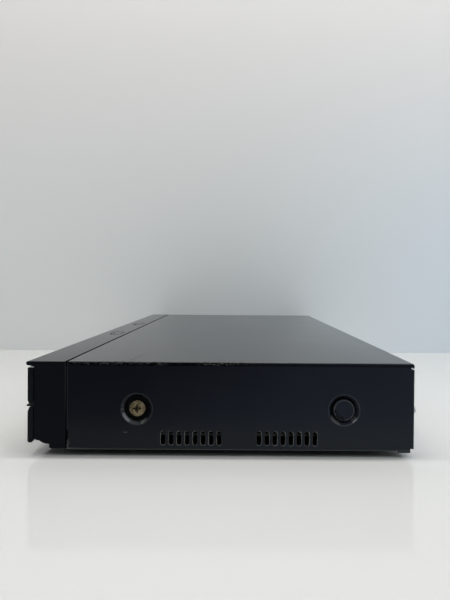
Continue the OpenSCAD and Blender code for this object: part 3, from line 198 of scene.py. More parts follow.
class Finish(Tree):
    """A material made from node expressions on Object coordinates."""

    def __init__(self, name, **constants):
        self.material = bpy.data.materials.new(name)
        self.material.use_nodes = True
        super().__init__(self.material.node_tree)
        self.constants = constants
        self.place = self.node("ShaderNodeTexCoord")["Object"]

    def axes(self):
        """X, Y and Z of the surface point in metres."""
        return self.parts(self.place)

    def stretched(self, scale, offset=(0, 0, 0)):
        inputs = {"Vector": self.place, "Scale": scale, "Location": offset}
        return self.node("ShaderNodeMapping", None, inputs)["Vector"]

    def noise(self, scale, detail=3.0, rough=0.55, vector=None):
        inputs = {"Vector": vector or self.place, "Scale": scale, "Detail": detail, "Roughness": rough}
        return self.node("ShaderNodeTexNoise", None, inputs)["Fac"]

    def cells(self, scale, feature="F1", output="Distance"):
        inputs = {"Vector": self.place, "Scale": scale}
        return self.node("ShaderNodeTexVoronoi", {"feature": feature}, inputs)[output]

    def bump(self, height, strength, depth=0.0001):
        inputs = {"Height": height, "Strength": strength, "Distance": depth}
        return self.node("ShaderNodeBump", None, inputs)["Normal"]

    def principled(self, **sockets):
        """The shader with its constants and the values that vary."""
        inputs = {name.replace("_", " "): item for name, item in {**self.constants, **sockets}.items()}
        return self.node("ShaderNodeBsdfPrincipled", None, inputs)[0]

    def surface(self, shader):
        self.node("ShaderNodeOutputMaterial", None, {"Surface": shader})
        return self.material

    def feed(self, **sockets):
        return self.surface(self.principled(**sockets))


def dress(material, *nodes):
    """Gives CAD nodes one material."""
    for name in nodes:
        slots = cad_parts[name].data.materials
        slots.clear()
        slots.append(material)


# Finishes


def with_dirt_and_shade(finish, shader, mask):
    """The shader with a dull black over it where the mask is 1, for grime and for painted shade."""
    dirt_and_shade = finish.node("ShaderNodeBsdfDiffuse", None, {"Color": (*DIRT_AND_SHADE, 1.0)})[0]
    return finish.node("ShaderNodeMixShader", None, {0: mask, 1: shader, 2: dirt_and_shade})[0]


def dish_offsets(finish, props):
    """Offsets along Y and Z of the surface point from the axes of the front and rear dishes."""
    _, y, z = finish.axes()
    up = z - (COVER_HIGH.z - props.side_height + props.dish_up)
    middles = COVER_LOW.y + props.dish_in, COVER_HIGH.y - props.dish_in
    return [(y - middle, up) for middle in middles]


def dish_radii(finish, props):
    """Distances of the surface point from the axes of the front and rear dishes."""
    return [(across ** 2.0 + up ** 2.0) ** 0.5 for across, up in dish_offsets(finish, props)]


def reflection_patch(offset, radius, direction, spread):
    """A patch of a dish's wall for a painted reflection: 1 in one direction from the axis, fading over a
    spread of cosines.
    """
    across, up = offset
    run, rise = direction
    return ((across * run + up * rise) / radius).step(*spread)


def satin_paint(props):
    """Black satin paint on the cover, chipped along its front top edge; painted lighter towards the rear and
    the bottom as light, with painted highlights on the bends, rims and edges, painted reflections in the
    dishes, and painted shade in the seam, the dishes and the slots.
    """
    finish = Finish(
        "satin_black_paint", Specular_IOR_Level=props.paint_gloss, Specular_Tint=(*props.sheen, 1.0),
        Coat_Roughness=0.16,
    )
    x, y, z = finish.axes()
    edge_x, top, seam_y, rear_y = COVER_HIGH.x, COVER_HIGH.z, COVER_LOW.y, COVER_HIGH.y
    low = top - props.side_height
    out = abs(x)
    # heights above the cover's lower edge
    reflection_high, slots_high, tear_high, blot_low, blot_high = 26 * MM, 13 * MM, 6.5 * MM, 6 * MM, 12 * MM
    # depths in from the side
    dish_deep, wall_deep, floor_deep = 3 * MM, 2.3 * MM, 2.4 * MM
    # distances behind the seam: where the worn front edge fades out, the nick and the scratch
    worn_to, worn_end, nick_y, scratch_y = 105 * MM, 125 * MM, 36.8 * MM, 38.3 * MM
    nick_z = 15.1 * MM
    scratch_in, scratch_out, scratch_slope = edge_x - 34 * MM, edge_x - 6 * MM, 0.13
    grain = finish.noise(2600.0, 2.0)
    cloud = finish.noise(14.0, 4.0)
    ragged = finish.noise(1.0, 5.0, 0.65, finish.stretched((300, 700, 1500)))
    patchy = finish.noise(34.0, 3.0)
    flat = z.above(top - TOP_SKIN)
    # painted light: the sides lighter towards the rear and towards the bottom, over random lighter patches
    painted_light_and_patches = (0.55 * y.step(seam_y, rear_y) + 0.2 * (1 - z.step(low, top)) + 0.25 * cloud).step(0.1, 0.9)
    colour = finish.mix(painted_light_and_patches, props.paint, props.paint_lit_and_patchy)
    # dust on the top; the lower part of the sides lighter as a painted reflection of the floor
    dusty_top = flat * (0.7 + 0.9 * x.step(0.0, edge_x))
    dust_and_floor_reflection = (1 - z.step(low, low + reflection_high)).most(dusty_top) * (0.6 + 0.8 * cloud)
    colour = finish.mix(dust_and_floor_reflection * props.dust_and_reflection_share, colour, props.dust)
    # painted highlight on the top beside the bend, and chips down the bend
    rubbed = z.above(top - 0.25 * MM) * out.step(edge_x - 2.6 * MM, edge_x - 1.6 * MM)
    front_share = 1 - y.step(seam_y + worn_to, seam_y + worn_end)
    bend = z.step(top - 2.3 * MM, top - 1.7 * MM) * z.below(top - 0.25 * MM) * out.above(edge_x - 1.5 * MM)
    chips = bend * ragged.step(0.52, 0.59) * patchy.step(0.38, 0.52) * (0.08 + 0.92 * front_share)
    colour = finish.mix(rubbed * (0.45 + 0.4 * ragged), colour, props.rubbed)
    colour = finish.mix(chips, colour, props.bare_edge)
    # painted shade on the slots' cut faces, a painted highlight along the lower edge, and one up the front
    # edge of the side
    side = out.above(edge_x - SKIN)
    sheared = out.between(edge_x - 0.76 * MM, edge_x - 0.05 * MM) * z.below(low + slots_high)
    hem = z.between(low, low + props.hem) * side * (0.55 + 0.6 * patchy)
    lip = side * y.between(seam_y + 0.3 * MM, seam_y + 0.6 * MM) * z.above(low + blot_high)
    colour = finish.mix(sheared, colour, props.cut_edge_shaded)
    colour = finish.mix(hem, colour, props.edge_highlight)
    colour = finish.mix(lip * (0.2 + 0.4 * patchy), colour, props.edge_highlight)
    # torn paint up the front corner near the table, and one short nick on the right side
    wave = finish.noise(1.0, 3.0, 0.6, finish.stretched((0, 0, 420)))
    tear = abs(y - seam_y - 0.9 * MM - (wave - 0.5) * (7 * MM)).below(0.3 * MM) * z.below(low + tear_high)
    blot = side * y.below(seam_y + 0.2 * MM + wave * (1.8 * MM)) * z.between(low + blot_low, low + blot_high)
    frayed = y.below(seam_y + 9 * MM) * z.below(low + 0.9 * MM) * ragged.step(0.48, 0.54)
    nick = abs(y - seam_y - nick_y).below(1.2 * MM) * abs(z - nick_z).below(0.22 * MM)
    torn = (tear * (0.25 + 0.75 * ragged.step(0.45, 0.55))).most(frayed * 0.7).most(nick * 0.7)
    colour = finish.mix(torn * x.above(0.0) * side, colour, props.torn)
    # dish rims with a painted highlight, and their walls rounded over in the shading by a bump
    front, rear = dish_radii(finish, props)
    radius = front.least(rear)
    rim = side * (1 - abs(radius - props.dish_radius).step(0.15 * MM, 0.5 * MM))
    colour = finish.mix(rim * 0.4, colour, props.edge_highlight)
    wall = props.dish_radius - props.dish_floor
    rolled = (radius - props.dish_floor).most(0.0).least(wall) ** 2.0 * RIM_ROLL
    # light catching the rear bend
    rear_bend = y.above(rear_y - 0.5 * MM) * side * z.below(top - 4 * MM)
    colour = finish.mix(rear_bend * 0.5, colour, props.edge_highlight)
    # painted reflections of the lamps on the lower walls of the right side's dishes, in the colour of torn
    # paint
    dished = out.between(edge_x - dish_deep, edge_x - 0.08 * MM) * z.between(low + 14 * MM, top - 12 * MM)
    front_offset, rear_offset = dish_offsets(finish, props)
    towards_front = reflection_patch(rear_offset, rear, (-0.64, -0.77), (0.88, 0.98)) * 0.75
    towards_rear = reflection_patch(rear_offset, rear, (0.74, -0.67), (0.96, 0.99)) * 0.7
    weaker = reflection_patch(front_offset, front, (0.51, -0.86), (0.95, 0.99)) * 0.35
    in_front, in_rear = front.below(props.dish_radius), rear.below(props.dish_radius)
    painted_reflections = (towards_front.most(towards_rear) * in_rear).most(weaker * in_front)
    lower_wall = dished * out.above(edge_x - wall_deep) * x.above(0.0)
    reflection_mask = lower_wall * painted_reflections * (0.4 + 0.6 * ragged.step(0.4, 0.6))
    colour = finish.mix(reflection_mask, colour, props.torn)
    specks = (1 - finish.cells(310.0).step(0.0, 0.09)) * finish.noise(40.0).step(0.55, 0.62)
    colour = finish.mix(specks * 0.10, colour, SPECK)
    rough = props.paint_rough - props.top_polish * flat - props.dish_polish * dished
    rough = rough + 0.04 * cloud + 0.04 * grain + 0.2 * specks + 0.1 * sheared
    shader = finish.principled(
        Base_Color=colour, Roughness=rough, Coat_Weight=dished * props.dish_coat,
        Normal=finish.bump(grain * (0.08 * GRAIN_DEPTH) + rolled, 1.0, 1.0),
    )
    # painted shade in the seam, down the bend, on the dishes' floors and on the slots' cut faces; dark bites
    # into the line beside the bend, a dark patch beside the seam near the table, and one hairline scratch on
    # the top
    seam = y.below(seam_y + 0.3 * MM + flat * (0.3 * MM))
    # painted shade: a dark band down the bend below the top
    bend_shade = z.step(top - 2.6 * MM, top - 1.9 * MM) * z.below(top - 0.3 * MM) * out.above(edge_x - 2 * MM)
    bend_shade = bend_shade * (1 - chips) * (0.55 + 0.35 * front_share)
    bites = rubbed * ragged.step(0.54, 0.6) * front_share * 0.85
    # painted shade on the dishes' floors
    recess_shade = dished * out.below(edge_x - floor_deep) * 0.95
    line = abs(y - seam_y - scratch_y - (scratch_out - x) * scratch_slope)
    scratch = flat * (1 - line.step(0.1 * MM, 0.3 * MM)) * x.between(scratch_in, scratch_out) * 0.7
    dirt_and_shade = seam.most(scratch).most(bend_shade).most(bites).most(recess_shade).most(sheared).most(blot * 0.9)
    return finish.surface(with_dirt_and_shade(finish, shader, dirt_and_shade))


def moulded_black(props, name, rough, grain_scale, strength, gloss, worn=False):
    """Black moulding with a spark-eroded grain and faint handling marks; on the fascia, painted highlights on
    its edges and painted shade at its seam and buttons.
    """
    finish = Finish(name, Specular_IOR_Level=gloss, Specular_Tint=(*props.sheen, 1.0))
    _, _, z = finish.axes()
    grain = finish.noise(grain_scale, 2.0)
    smear = finish.noise(18.0, 5.0)
    colour = finish.mix(smear.step(0.35, 0.75), props.moulding, props.moulding_light)
    # painted highlights on the fascia's edges
    if worn:
        colour = finish.mix(fascia_edges(finish) * (0.2 + 0.5 * smear), colour, props.edge_highlight)
    polish = props.top_polish * z.above(FASCIA_HIGH.z - TOP_SKIN)
    shader = finish.principled(
        Base_Color=colour, Roughness=rough - polish + 0.06 * smear + 0.04 * grain,
        Normal=finish.bump(grain, strength, GRAIN_DEPTH),
    )
    return finish.surface(with_dirt_and_shade(finish, shader, fascia_shade(finish)) if worn else shader)


def cap_moulding(props):
    """Push-in cap with a painted highlight round its rim."""
    finish = Finish("cap_moulding", Specular_IOR_Level=props.paint_gloss)
    grain = finish.noise(1500.0, 2.0)
    cap_radius = (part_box("screw_caps")[1].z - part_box("screw_caps")[0].z) / 2
    front, rear = dish_radii(finish, props)
    rim = front.least(rear).step(cap_radius - 0.9 * MM, cap_radius - 0.3 * MM) * 0.6
    colour = finish.mix(grain, props.cap, [1.3 * c for c in props.cap])
    colour = finish.mix(rim, colour, props.edge_highlight)
    # darker marks on the cap near its edge towards the front
    _, (across, up) = dish_offsets(finish, props)
    low_front = (across + up).below(-5 * MM)
    edge = rear.between(cap_radius - 2.4 * MM, cap_radius - 0.2 * MM)
    dark_marks = edge * low_front * finish.noise(700.0).step(0.46, 0.52)
    colour = finish.mix(dark_marks, colour, CAP_EDGE_DARK)
    normal = finish.bump(grain, 0.08, GRAIN_DEPTH)
    return finish.feed(Base_Color=colour, Roughness=0.34 + 0.1 * grain, Normal=normal)


def pill_radius(x, y, half_x, half_y):
    """Distance from the middle line of a pill shape that lies along X."""
    beyond = (abs(x) - (half_x - half_y)).most(0.0)
    return (beyond ** 2.0 + y ** 2.0) ** 0.5


def fascia_edges(finish):
    """Light catching the fascia's edges at the seam and near the table, on both ends."""
    x, y, z = finish.axes()
    end = abs(x).above(FASCIA_HIGH.x - SKIN)
    beside_seam = y.between(COVER_LOW.y - 0.9 * MM, COVER_LOW.y - 0.6 * MM)
    beside_seam = beside_seam * z.step(FASCIA_LOW.z + 15 * MM, FASCIA_LOW.z + 40 * MM)
    return end * beside_seam.most(z.below(FASCIA_LOW.z + 0.45 * MM))


def fascia_shade(finish):
    """Painted shade along the seam to the cover, and round each button on top, widest in a crescent at its
    near end.
    """
    x, y, z = finish.axes()
    flat = z.above(FASCIA_HIGH.z - TOP_SKIN)
    seam = y.between(COVER_LOW.y - 0.6 * MM - flat * (0.6 * MM), COVER_LOW.y)
    for name in ("power_button", "open_button"):
        button_low, button_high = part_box(name)
        middle = (button_low + button_high) / 2
        half_x = (button_high.x - button_low.x) / 2 - 1 * MM
        half_y = (button_high.y - button_low.y) / 2 - 1 * MM
        outside = pill_radius(x - middle.x, y - middle.y, half_x, half_y).above(half_y - 0.3 * MM)
        shifted = pill_radius(x - middle.x - 1.2 * MM, y - middle.y, half_x + 1.2 * MM, half_y)
        seam = seam.most(outside * shifted.below(half_y + 0.7 * MM) * flat)
    return seam * z.above(FASCIA_HIGH.z - 3 * MM)


def base_steel(props):
    """Plated pan with a dark coat on its underside, darkened with painted shade near the sides, where it
    shows through the slots.
    """
    finish = Finish("coated_base")
    x, _, z = finish.axes()
    grain = finish.noise(900.0, 3.0)
    lines = finish.noise(1.0, 3.0, 0.6, finish.stretched((20, 1800, 1800)))
    inside = z.above(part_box("base_chassis")[0].z + 0.4 * MM)
    plating = finish.mix(lines, props.steel, props.steel_light)
    # painted shade on the pan near the sides, where it shows through the slots
    inside_shade = abs(x).step(COVER_HIGH.x - 55 * MM, COVER_HIGH.x - 35 * MM)
    plating = finish.mix(inside_shade * 0.95, plating, INSIDE_SHADE)
    coat = finish.mix(grain, (0.010, 0.010, 0.011), (0.016, 0.016, 0.017))
    return finish.feed(
        Base_Color=finish.mix(inside, coat, plating), Metallic=inside * (0.9 - 0.9 * inside_shade),
        Roughness=0.55 - 0.2 * inside + 0.1 * grain, Normal=finish.bump(grain, 0.08, GRAIN_DEPTH),
    )


def plated_steel(name, colour, light, rough=0.34):
    """Rolled and zinc-plated sheet: faint spangle and rolling lines along X."""
    finish = Finish(name)
    spangle = finish.cells(130.0, output="Color")
    grey = finish.node("ShaderNodeRGBToBW", None, {0: spangle})[0]
    lines = finish.noise(1.0, 3.0, 0.6, finish.stretched((20, 1800, 1800)))
    shade = finish.mix(0.55 * grey + 0.45 * lines, colour, light)
    metal = finish.noise(8.0).step(0.0, 0.2)
    return finish.feed(
        Base_Color=shade, Metallic=metal, Roughness=rough + 0.16 * lines + 0.08 * grey,
        Normal=finish.bump(lines, 0.05, ROLLING_DEPTH),
    )


def yellow_zinc(props):
    """Yellow passivated screw heads, stained, rubbed bright in specks, dirty in the middle and darkened with
    painted shade in the cross recess.
    """
    finish = Finish("yellow_zinc")
    tint = finish.noise(420.0, 3.0)
    stain = finish.noise(900.0, 5.0)
    colour = finish.mix(tint.step(0.3, 0.7), props.zinc, props.zinc_light)
    colour = finish.mix(finish.noise(1500.0, 2.0).step(0.52, 0.64) * 0.7, colour, props.zinc_bare)
    colour = finish.mix(stain.step(0.50, 0.60) * 0.65, colour, STAIN)
    x, _, _ = finish.axes()
    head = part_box("cover_screws")[1].x
    # painted shade where the head lies more than 1 mm below its top, in the cross recess
    recess_shade = 1 - abs(x).step(head - 1.0 * MM, head - 0.94 * MM)
    front, rear = dish_radii(finish, props)
    packed = (1 - front.least(rear).step(0.9 * MM, 1.9 * MM)) * stain.step(0.32, 0.50)
    colour = finish.mix((recess_shade * 0.9).most(packed * 0.85), colour, RECESS_DIRT_AND_SHADE)
    metal = 1 - stain.step(0.6, 0.8) * 0.3
    return finish.feed(
        Base_Color=colour, Metallic=metal, Roughness=0.36 + 0.25 * stain,
        Normal=finish.bump(stain, 0.12, GRAIN_DEPTH),
    )


def sheared_steel(props, sizes):
    """Punched steel of the slots, with a painted highlight on the edges away from the row's middle and at the
    lower ends, and painted shade on the rest.
    """
    finish = Finish("sheared_steel")
    _, y, z = finish.axes()
    dulled = finish.noise(260.0, 4.0)
    along = (y - COVER_LOW.y - sizes.first) / sizes.pitch
    outer = ((along + 0.5).fraction() - 0.5) * (along - sizes.count - sizes.skip / 2 + 0.5)
    foot = z.below(sizes.low + sizes.width / 4)
    # painted highlight on these edges, painted shade on the rest
    lit_edges = outer.above(0.0).most(foot) * (1 - 0.6 * dulled.step(0.4, 0.65))
    colour = finish.mix(lit_edges, props.cut_edge_shaded, props.cut_edge_lit)
    return finish.feed(Base_Color=colour, Metallic=0.3 * dulled, Roughness=0.35 + 0.3 * dulled)


def rubber():
    """Matt rubber with a powdery bloom."""
    finish = Finish("rubber")
    bloom = finish.noise(160.0, 5.0)
    colour = finish.mix(bloom.step(0.45, 0.8) * 0.5, (0.018, 0.018, 0.019), (0.07, 0.07, 0.072))
    return finish.feed(Base_Color=colour, Roughness=0.75 + 0.15 * bloom, Normal=finish.bump(bloom, 0.2))


def circuit_board(name, mask, track):
    """Solder mask over square-routed tracks, with tinned pads."""
    finish = Finish(name)
    run_x = finish.noise(1.0, 0.0, 0.0, finish.stretched((60, 900, 60)))
    run_y = finish.noise(1.0, 0.0, 0.0, finish.stretched((900, 60, 60), (7, 3, 0)))
    patch = finish.noise(30.0, 1.0).above(0.5)
    tracks = patch * run_x.step(0.5, 0.53) + (1 - patch) * run_y.step(0.5, 0.53)
    pads = finish.cells(280.0).below(0.16) * finish.noise(50.0, 1.0).above(0.52)
    colour = finish.mix(tracks * 0.6, mask, track)
    colour = finish.mix(pads, colour, (0.55, 0.55, 0.53))
    return finish.feed(
        Base_Color=colour, Roughness=0.38 - 0.1 * tracks, Metallic=pads * 0.9,
        Normal=finish.bump(tracks + pads, 0.25, GRAIN_DEPTH),
    )


def moulded(name, colour, light, rough=0.5):
    """Plain engineering plastic with flow marks."""
    finish = Finish(name)
    grain = finish.noise(1500.0, 2.0)
    flow = finish.noise(1.0, 4.0, 0.6, finish.stretched((30, 90, 30)))
    shade = finish.mix(flow.step(0.3, 0.75), colour, light)
    normal = finish.bump(grain, 0.08, GRAIN_DEPTH)
    return finish.feed(Base_Color=shade, Roughness=rough + 0.1 * grain, Normal=normal)


def cast_aluminium():
    """Aluminium with fine machining lines over a granular cast skin."""
    finish = Finish("cast_aluminium")
    skin = finish.noise(700.0, 4.0)
    lines = finish.noise(1.0, 2.0, 0.5, finish.stretched((25, 2200, 400)))
    colour = finish.mix(skin.step(0.3, 0.7), (0.38, 0.39, 0.40), (0.50, 0.51, 0.52))
    metal = 1 - skin.step(0.7, 0.9) * 0.15
    return finish.feed(
        Base_Color=colour, Metallic=metal, Roughness=0.32 + 0.2 * skin,
        Normal=finish.bump(skin + lines, 0.1, GRAIN_DEPTH),
    )


def jack_rings():
    """Yellow, white and red jack mouldings, told apart by their place along X."""
    finish = Finish("jack_rings")
    low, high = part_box("av_jacks")
    third = (high.x - low.x) / 3
    x, _, _ = finish.axes()
    grain = finish.noise(1500.0)
    colour = finish.mix(x.above(low.x + third), (0.75, 0.5, 0.02), (0.8, 0.8, 0.78))
    colour = finish.mix(x.above(low.x + 2 * third), colour, (0.55, 0.02, 0.02))
    normal = finish.bump(grain, 0.06, GRAIN_DEPTH)
    return finish.feed(Base_Color=colour, Roughness=0.35 + 0.15 * grain, Normal=normal)


def dark_glass():
    """Dark display glass with a faint grid of segments behind it."""
    finish = Finish("display_glass")
    grid = finish.cells(420.0, feature="DISTANCE_TO_EDGE")
    smear = finish.noise(25.0, 4.0)
    colour = finish.mix(grid.step(0.0, 0.2), (0.012, 0.02, 0.02), (0.03, 0.045, 0.042))
    return finish.feed(Base_Color=colour, Roughness=0.1 + 0.12 * smear)


# Property groups


def colour_property(name, description, default):
    return FloatVectorProperty(
        name=name, description=description, default=default, size=3, min=0.0, max=1.0, subtype="COLOR"
    )


def place_property(name, description, default):
    return FloatVectorProperty(
        name=name, description=description, default=default, size=3, subtype="TRANSLATION"
    )


def factor_property(name, description, default):
    return FloatProperty(
        name=name, description=description, default=default, min=0.0, max=1.0, subtype="FACTOR"
    )


def length_property(name, description, default):
    return FloatProperty(name=name, description=description, default=default, unit="LENGTH")


def power_property(name, description, default):
    return FloatProperty(name=name, description=description, default=default, subtype="POWER")


def angle_property(name, description, degrees):
    return FloatProperty(
        name=name, description=description, default=math.radians(degrees), subtype="ANGLE"
    )


def pixel_property(name, description, default):
    return FloatProperty(name=name, description=description, default=default, subtype="PIXEL")


class RecorderFinishes(bpy.types.PropertyGroup):
    """Colours and finish sizes of the recorder."""

    paint: colour_property("Paint", "Satin paint of the cover", (0.0005, 0.0014, 0.0060))
    # the lighter paint below stands for painted light towards the rear and the bottom, and for random patches
    paint_lit_and_patchy: colour_property("Paint, worn", "Lighter patches of the paint", (0.0150, 0.0190, 0.0300))
    sheen: colour_property("Sheen", "Tint of the reflections in black surfaces", (0.92, 1.0, 0.97))
    # the dust colour below also paints a floor reflection on the lower sides
    dust: colour_property("Dust", "Dust on the top and on the lower part of the sides", (0.036, 0.038, 0.035))
    # the rubbed line below is a painted highlight beside the bends
    rubbed: colour_property("Rubbed line", "Rubbed paint beside the bends", (0.09, 0.09, 0.09))
    bare_edge: colour_property("Bare edge", "Primer where the paint has chipped off", (0.058, 0.058, 0.054))
    # the torn-paint colour below is also used for painted reflections in the dishes
    torn: colour_property("Torn paint", "Bright steel under torn paint", (0.15, 0.15, 0.145))
    # the cut edge below is the sheared steel in painted shade, and the next one the same with a painted
    # highlight
    cut_edge_shaded: colour_property("Cut edge", "Sheared edge of the sheet steel", (0.012, 0.012, 0.012))
    cut_edge_lit: colour_property("Cut edge, bright", "Bright patches of the sheared edge", (0.34, 0.34, 0.33))
    edge_highlight: colour_property("Hem line", "Light catching the lower edge and the rims", (0.090, 0.096, 0.102))
    moulding: colour_property("Moulding", "Black plastic of the fascia", (0.0006, 0.0014, 0.0046))
    moulding_light: colour_property(
        "Moulding, handled", "Handled patches of the fascia", (0.0016, 0.0028, 0.0070)
    )
    cap: colour_property("Caps", "Push-in caps over the screws", (0.0108, 0.0144, 0.0238))
    zinc: colour_property("Zinc", "Yellow passivation on the screws", (0.13, 0.10, 0.05))
    zinc_light: colour_property("Zinc, bright", "Bright patches of the passivation", (0.30, 0.25, 0.15))
    zinc_bare: colour_property("Zinc, rubbed", "Specks rubbed bright on the screws", (0.52, 0.46, 0.34))
    steel: colour_property("Steel", "Plated sheet", (0.42, 0.43, 0.44))
    steel_light: colour_property("Steel, bright", "Bright spangle of the plating", (0.60, 0.61, 0.62))
    paint_gloss: factor_property("Paint gloss", "Specular level of the cover's paint", 0.12)
    paint_rough: factor_property("Paint roughness", "Roughness of the black sides", 0.38)
    top_polish: factor_property("Top polish", "How much smoother the wiped top is than the sides", 0.28)
    dish_polish: factor_property("Dish polish", "How much smoother the dishes are than the sides", 0.22)
    dust_and_reflection_share: factor_property("Dust share", "How much dust lies on the top and the lower sides", 0.32)
    dish_coat: factor_property("Dish coat", "Gloss of the paint where the dishes were drawn", 1.0)
    dish_in: length_property("Dish distance", "Dishes from the cover's front and rear edges", 43.8 * MM)
    dish_up: length_property("Dish height", "Dishes above the cover's lower edge", 25.3 * MM)
    dish_radius: length_property("Dish radius", "Rim radius of the dishes", 9.75 * MM)
    dish_floor: length_property("Dish floor", "Floor radius of the dishes", 7.65 * MM)
    side_height: length_property("Side height", "Height of the cover's side", 54.7 * MM)
    hem: length_property("Hem", "Width of the light line along the lower edge", 0.45 * MM)


class RecorderVentEdges(bpy.types.PropertyGroup):
    """Sizes of the bright sheared edges round the side vents."""

    count: IntProperty(name="Slots", description="Slots in a group", default=8, min=1, max=12)
    pitch: length_property("Pitch", "Distance between slots", 5 * MM)
    width: length_property("Width", "Width of a slot", 2.8 * MM)
    height: length_property("Height", "Height of a slot", 8.7 * MM)
    first: length_property("First slot", "First slot behind the cover's front edge", 60.3 * MM)
    skip: IntProperty(
        name="Skipped", description="Slots left out between the groups", default=4, min=0, max=8
    )
    low: length_property("Lower end", "Lower end of the slots above the table", 7.25 * MM)
    burr: length_property("Burr", "Radius of the sheared edge", 0.10 * MM)
    seed: IntProperty(
        name="Seed", description="Seed of the small differences between slots", default=3, min=0
    )


class RecorderStage(bpy.types.PropertyGroup):
    """Floor, wall, lights and camera."""

    floor: colour_property("Floor", "Pale floor", (0.53, 0.52, 0.50))
    wall: colour_property("Wall", "Pale wall", (0.73, 0.745, 0.735))
    wall_right: colour_property("Wall, right", "Right part of the wall", (0.66, 0.72, 0.77))
    wall_high: colour_property("Wall, high", "Upper part of the wall", (0.70, 0.68, 0.665))
    reach: length_property("Reach", "Half the width of the floor and the wall", 3.0)
    wall_gap: length_property("Wall gap", "Distance of the wall behind the far side", 16 * MM)
    horizon: colour_property("Horizon", "Room light from the sides", (0.14, 0.15, 0.16))
    zenith: colour_property("Zenith", "Room light from above", (0.70, 0.72, 0.73))
    front_shade: factor_property("Front shade", "How much dimmer the room is in front of the near side", 0.92)
    side_light: FloatProperty(
        name="Side light", description="How much brighter the room is to the left and right", default=0.9,
        min=0.0, subtype="NONE",
    )
    overhead_place: place_property("Overhead", "Place of the lamp overhead", (0.115, 0.0, 1.40))
    overhead_length: length_property("Overhead length", "Length of the lamp overhead", 1.5)
    overhead_width: length_property("Overhead width", "Width of the lamp overhead", 0.10)
    overhead_power: power_property("Overhead power", "Power of the lamp overhead", 15.5)
    window_place: place_property("Window", "Place of the window light", (0.40, 1.35, 0.95))
    window_size: length_property("Window size", "Side of the square window light", 1.7)
    window_tint: colour_property("Window tint", "Colour of the window light", (0.84, 0.93, 1.0))
    window_power: power_property("Window power", "Power of the window light", 17.0)
    left_place: place_property("Left lamp", "Place of the small lamp on the left", (0.45, -1.2, 1.2))
    left_size: length_property("Left size", "Side of the square lamp on the left", 0.7)
    left_power: power_property("Left power", "Power of the small lamp on the left", 4.5)
    lens: FloatProperty(
        name="Lens", description="Focal length on a 36 mm frame", default=27.91, subtype="NONE"
    )
    distance: length_property("Distance", "Camera distance from the near side", 289.8 * MM)
    aside: length_property("Aside", "Camera place in front of the cover's rear edge", 111.2 * MM)
    height: length_property("Height", "Camera height above the table", 108.8 * MM)
    yaw: angle_property("Yaw", "Turn to the rear", 0.25)
    pitch: angle_property("Pitch", "Tilt downwards", 0.49)
    roll: angle_property("Roll", "Camera roll", 0.46)
    centre_x: pixel_property("Centre x", "Optical centre, pixels from the left", 239.4)
    centre_y: pixel_property("Centre y", "Optical centre, pixels from the top", 286.9)


# Operators


class RECORDER_OT_paint_case(bpy.types.Operator):
    """Paint the cover, base, back panel, feet, screws and caps"""

    bl_idname = "recorder.paint_case"
    bl_label = "Paint Case"

    def execute(self, context):
        props = context.scene.recorder_finishes
        dress(satin_paint(props), "top_cover")
        steel = plated_steel("plated_steel", props.steel, props.steel_light)
        dress(steel, "back_panel", "rear_screws", "hdd_bracket", "drive_cover")
        dress(base_steel(props), "base_chassis")
        dress(rubber(), "feet", "hdd_dampers", "loading_belt")
        dress(yellow_zinc(props), "cover_screws", "motor_pulley")
        dress(cap_moulding(props), "screw_caps")
        return {"FINISHED"}


class RECORDER_OT_paint_fascia(bpy.types.Operator):
    """Paint the fascia, its plates, flap, trim, display and buttons"""

    bl_idname = "recorder.paint_fascia"
    bl_label = "Paint Fascia"

    def execute(self, context):
        props = context.scene.recorder_finishes
        # worn adds painted highlights on the fascia's edges and painted shade at its seam and buttons
        matt = moulded_black(
            props, "fascia_moulding", rough=0.38, grain_scale=2200.0, strength=0.06, gloss=0.11, worn=True
        )
        dress(matt, "front_panel", "centre_trim", "power_button", "open_button")
        plain = moulded_black(
            props, "black_moulding", rough=0.30, grain_scale=1800.0, strength=0.08, gloss=0.3
        )
        dress(plain, "mains_inlet", "fan_frame", "fan_rotor")
        gloss = moulded_black(props, "gloss_plate", rough=0.12, grain_scale=900.0, strength=0.01, gloss=0.14)
        dress(gloss, "lower_panel", "display_window", "flap_door", "tray_bezel")
        dress(dark_glass(), "display_module")
        return {"FINISHED"}


class RECORDER_OT_paint_drive(bpy.types.Operator):
    """Paint the disc loader"""

    bl_idname = "recorder.paint_drive"
    bl_label = "Paint Disc Loader"

    def execute(self, context):
        dark = moulded("loader_plastic", (0.025, 0.025, 0.027), (0.04, 0.04, 0.043))
        dress(dark, "loader_frame", "disc_tray", "traverse_frame", "turntable", "key_switches")
        acetal = moulded("acetal", (0.62, 0.58, 0.47), (0.74, 0.71, 0.60), rough=0.4)
        dress(acetal, "tray_gear", "pulley_gear")
        dress(moulded("clamper_plastic", (0.30, 0.30, 0.31), (0.38, 0.38, 0.39), rough=0.45), "clamper")
        bright = plated_steel("bright_steel", (0.60, 0.60, 0.60), (0.72, 0.72, 0.72), rough=0.2)
        dress(bright, "guide_rods", "lead_screw", "sled_motor", "spindle_motor", "loading_motor")
        dress(bright, "drive_screws", "flap_pins", "hdd_screws", "board_screws", "aerial_sockets")
        dress(bright, "tuner_module", "hdmi_socket", "lan_socket", "front_usb_socket", "card_slot")
        return {"FINISHED"}


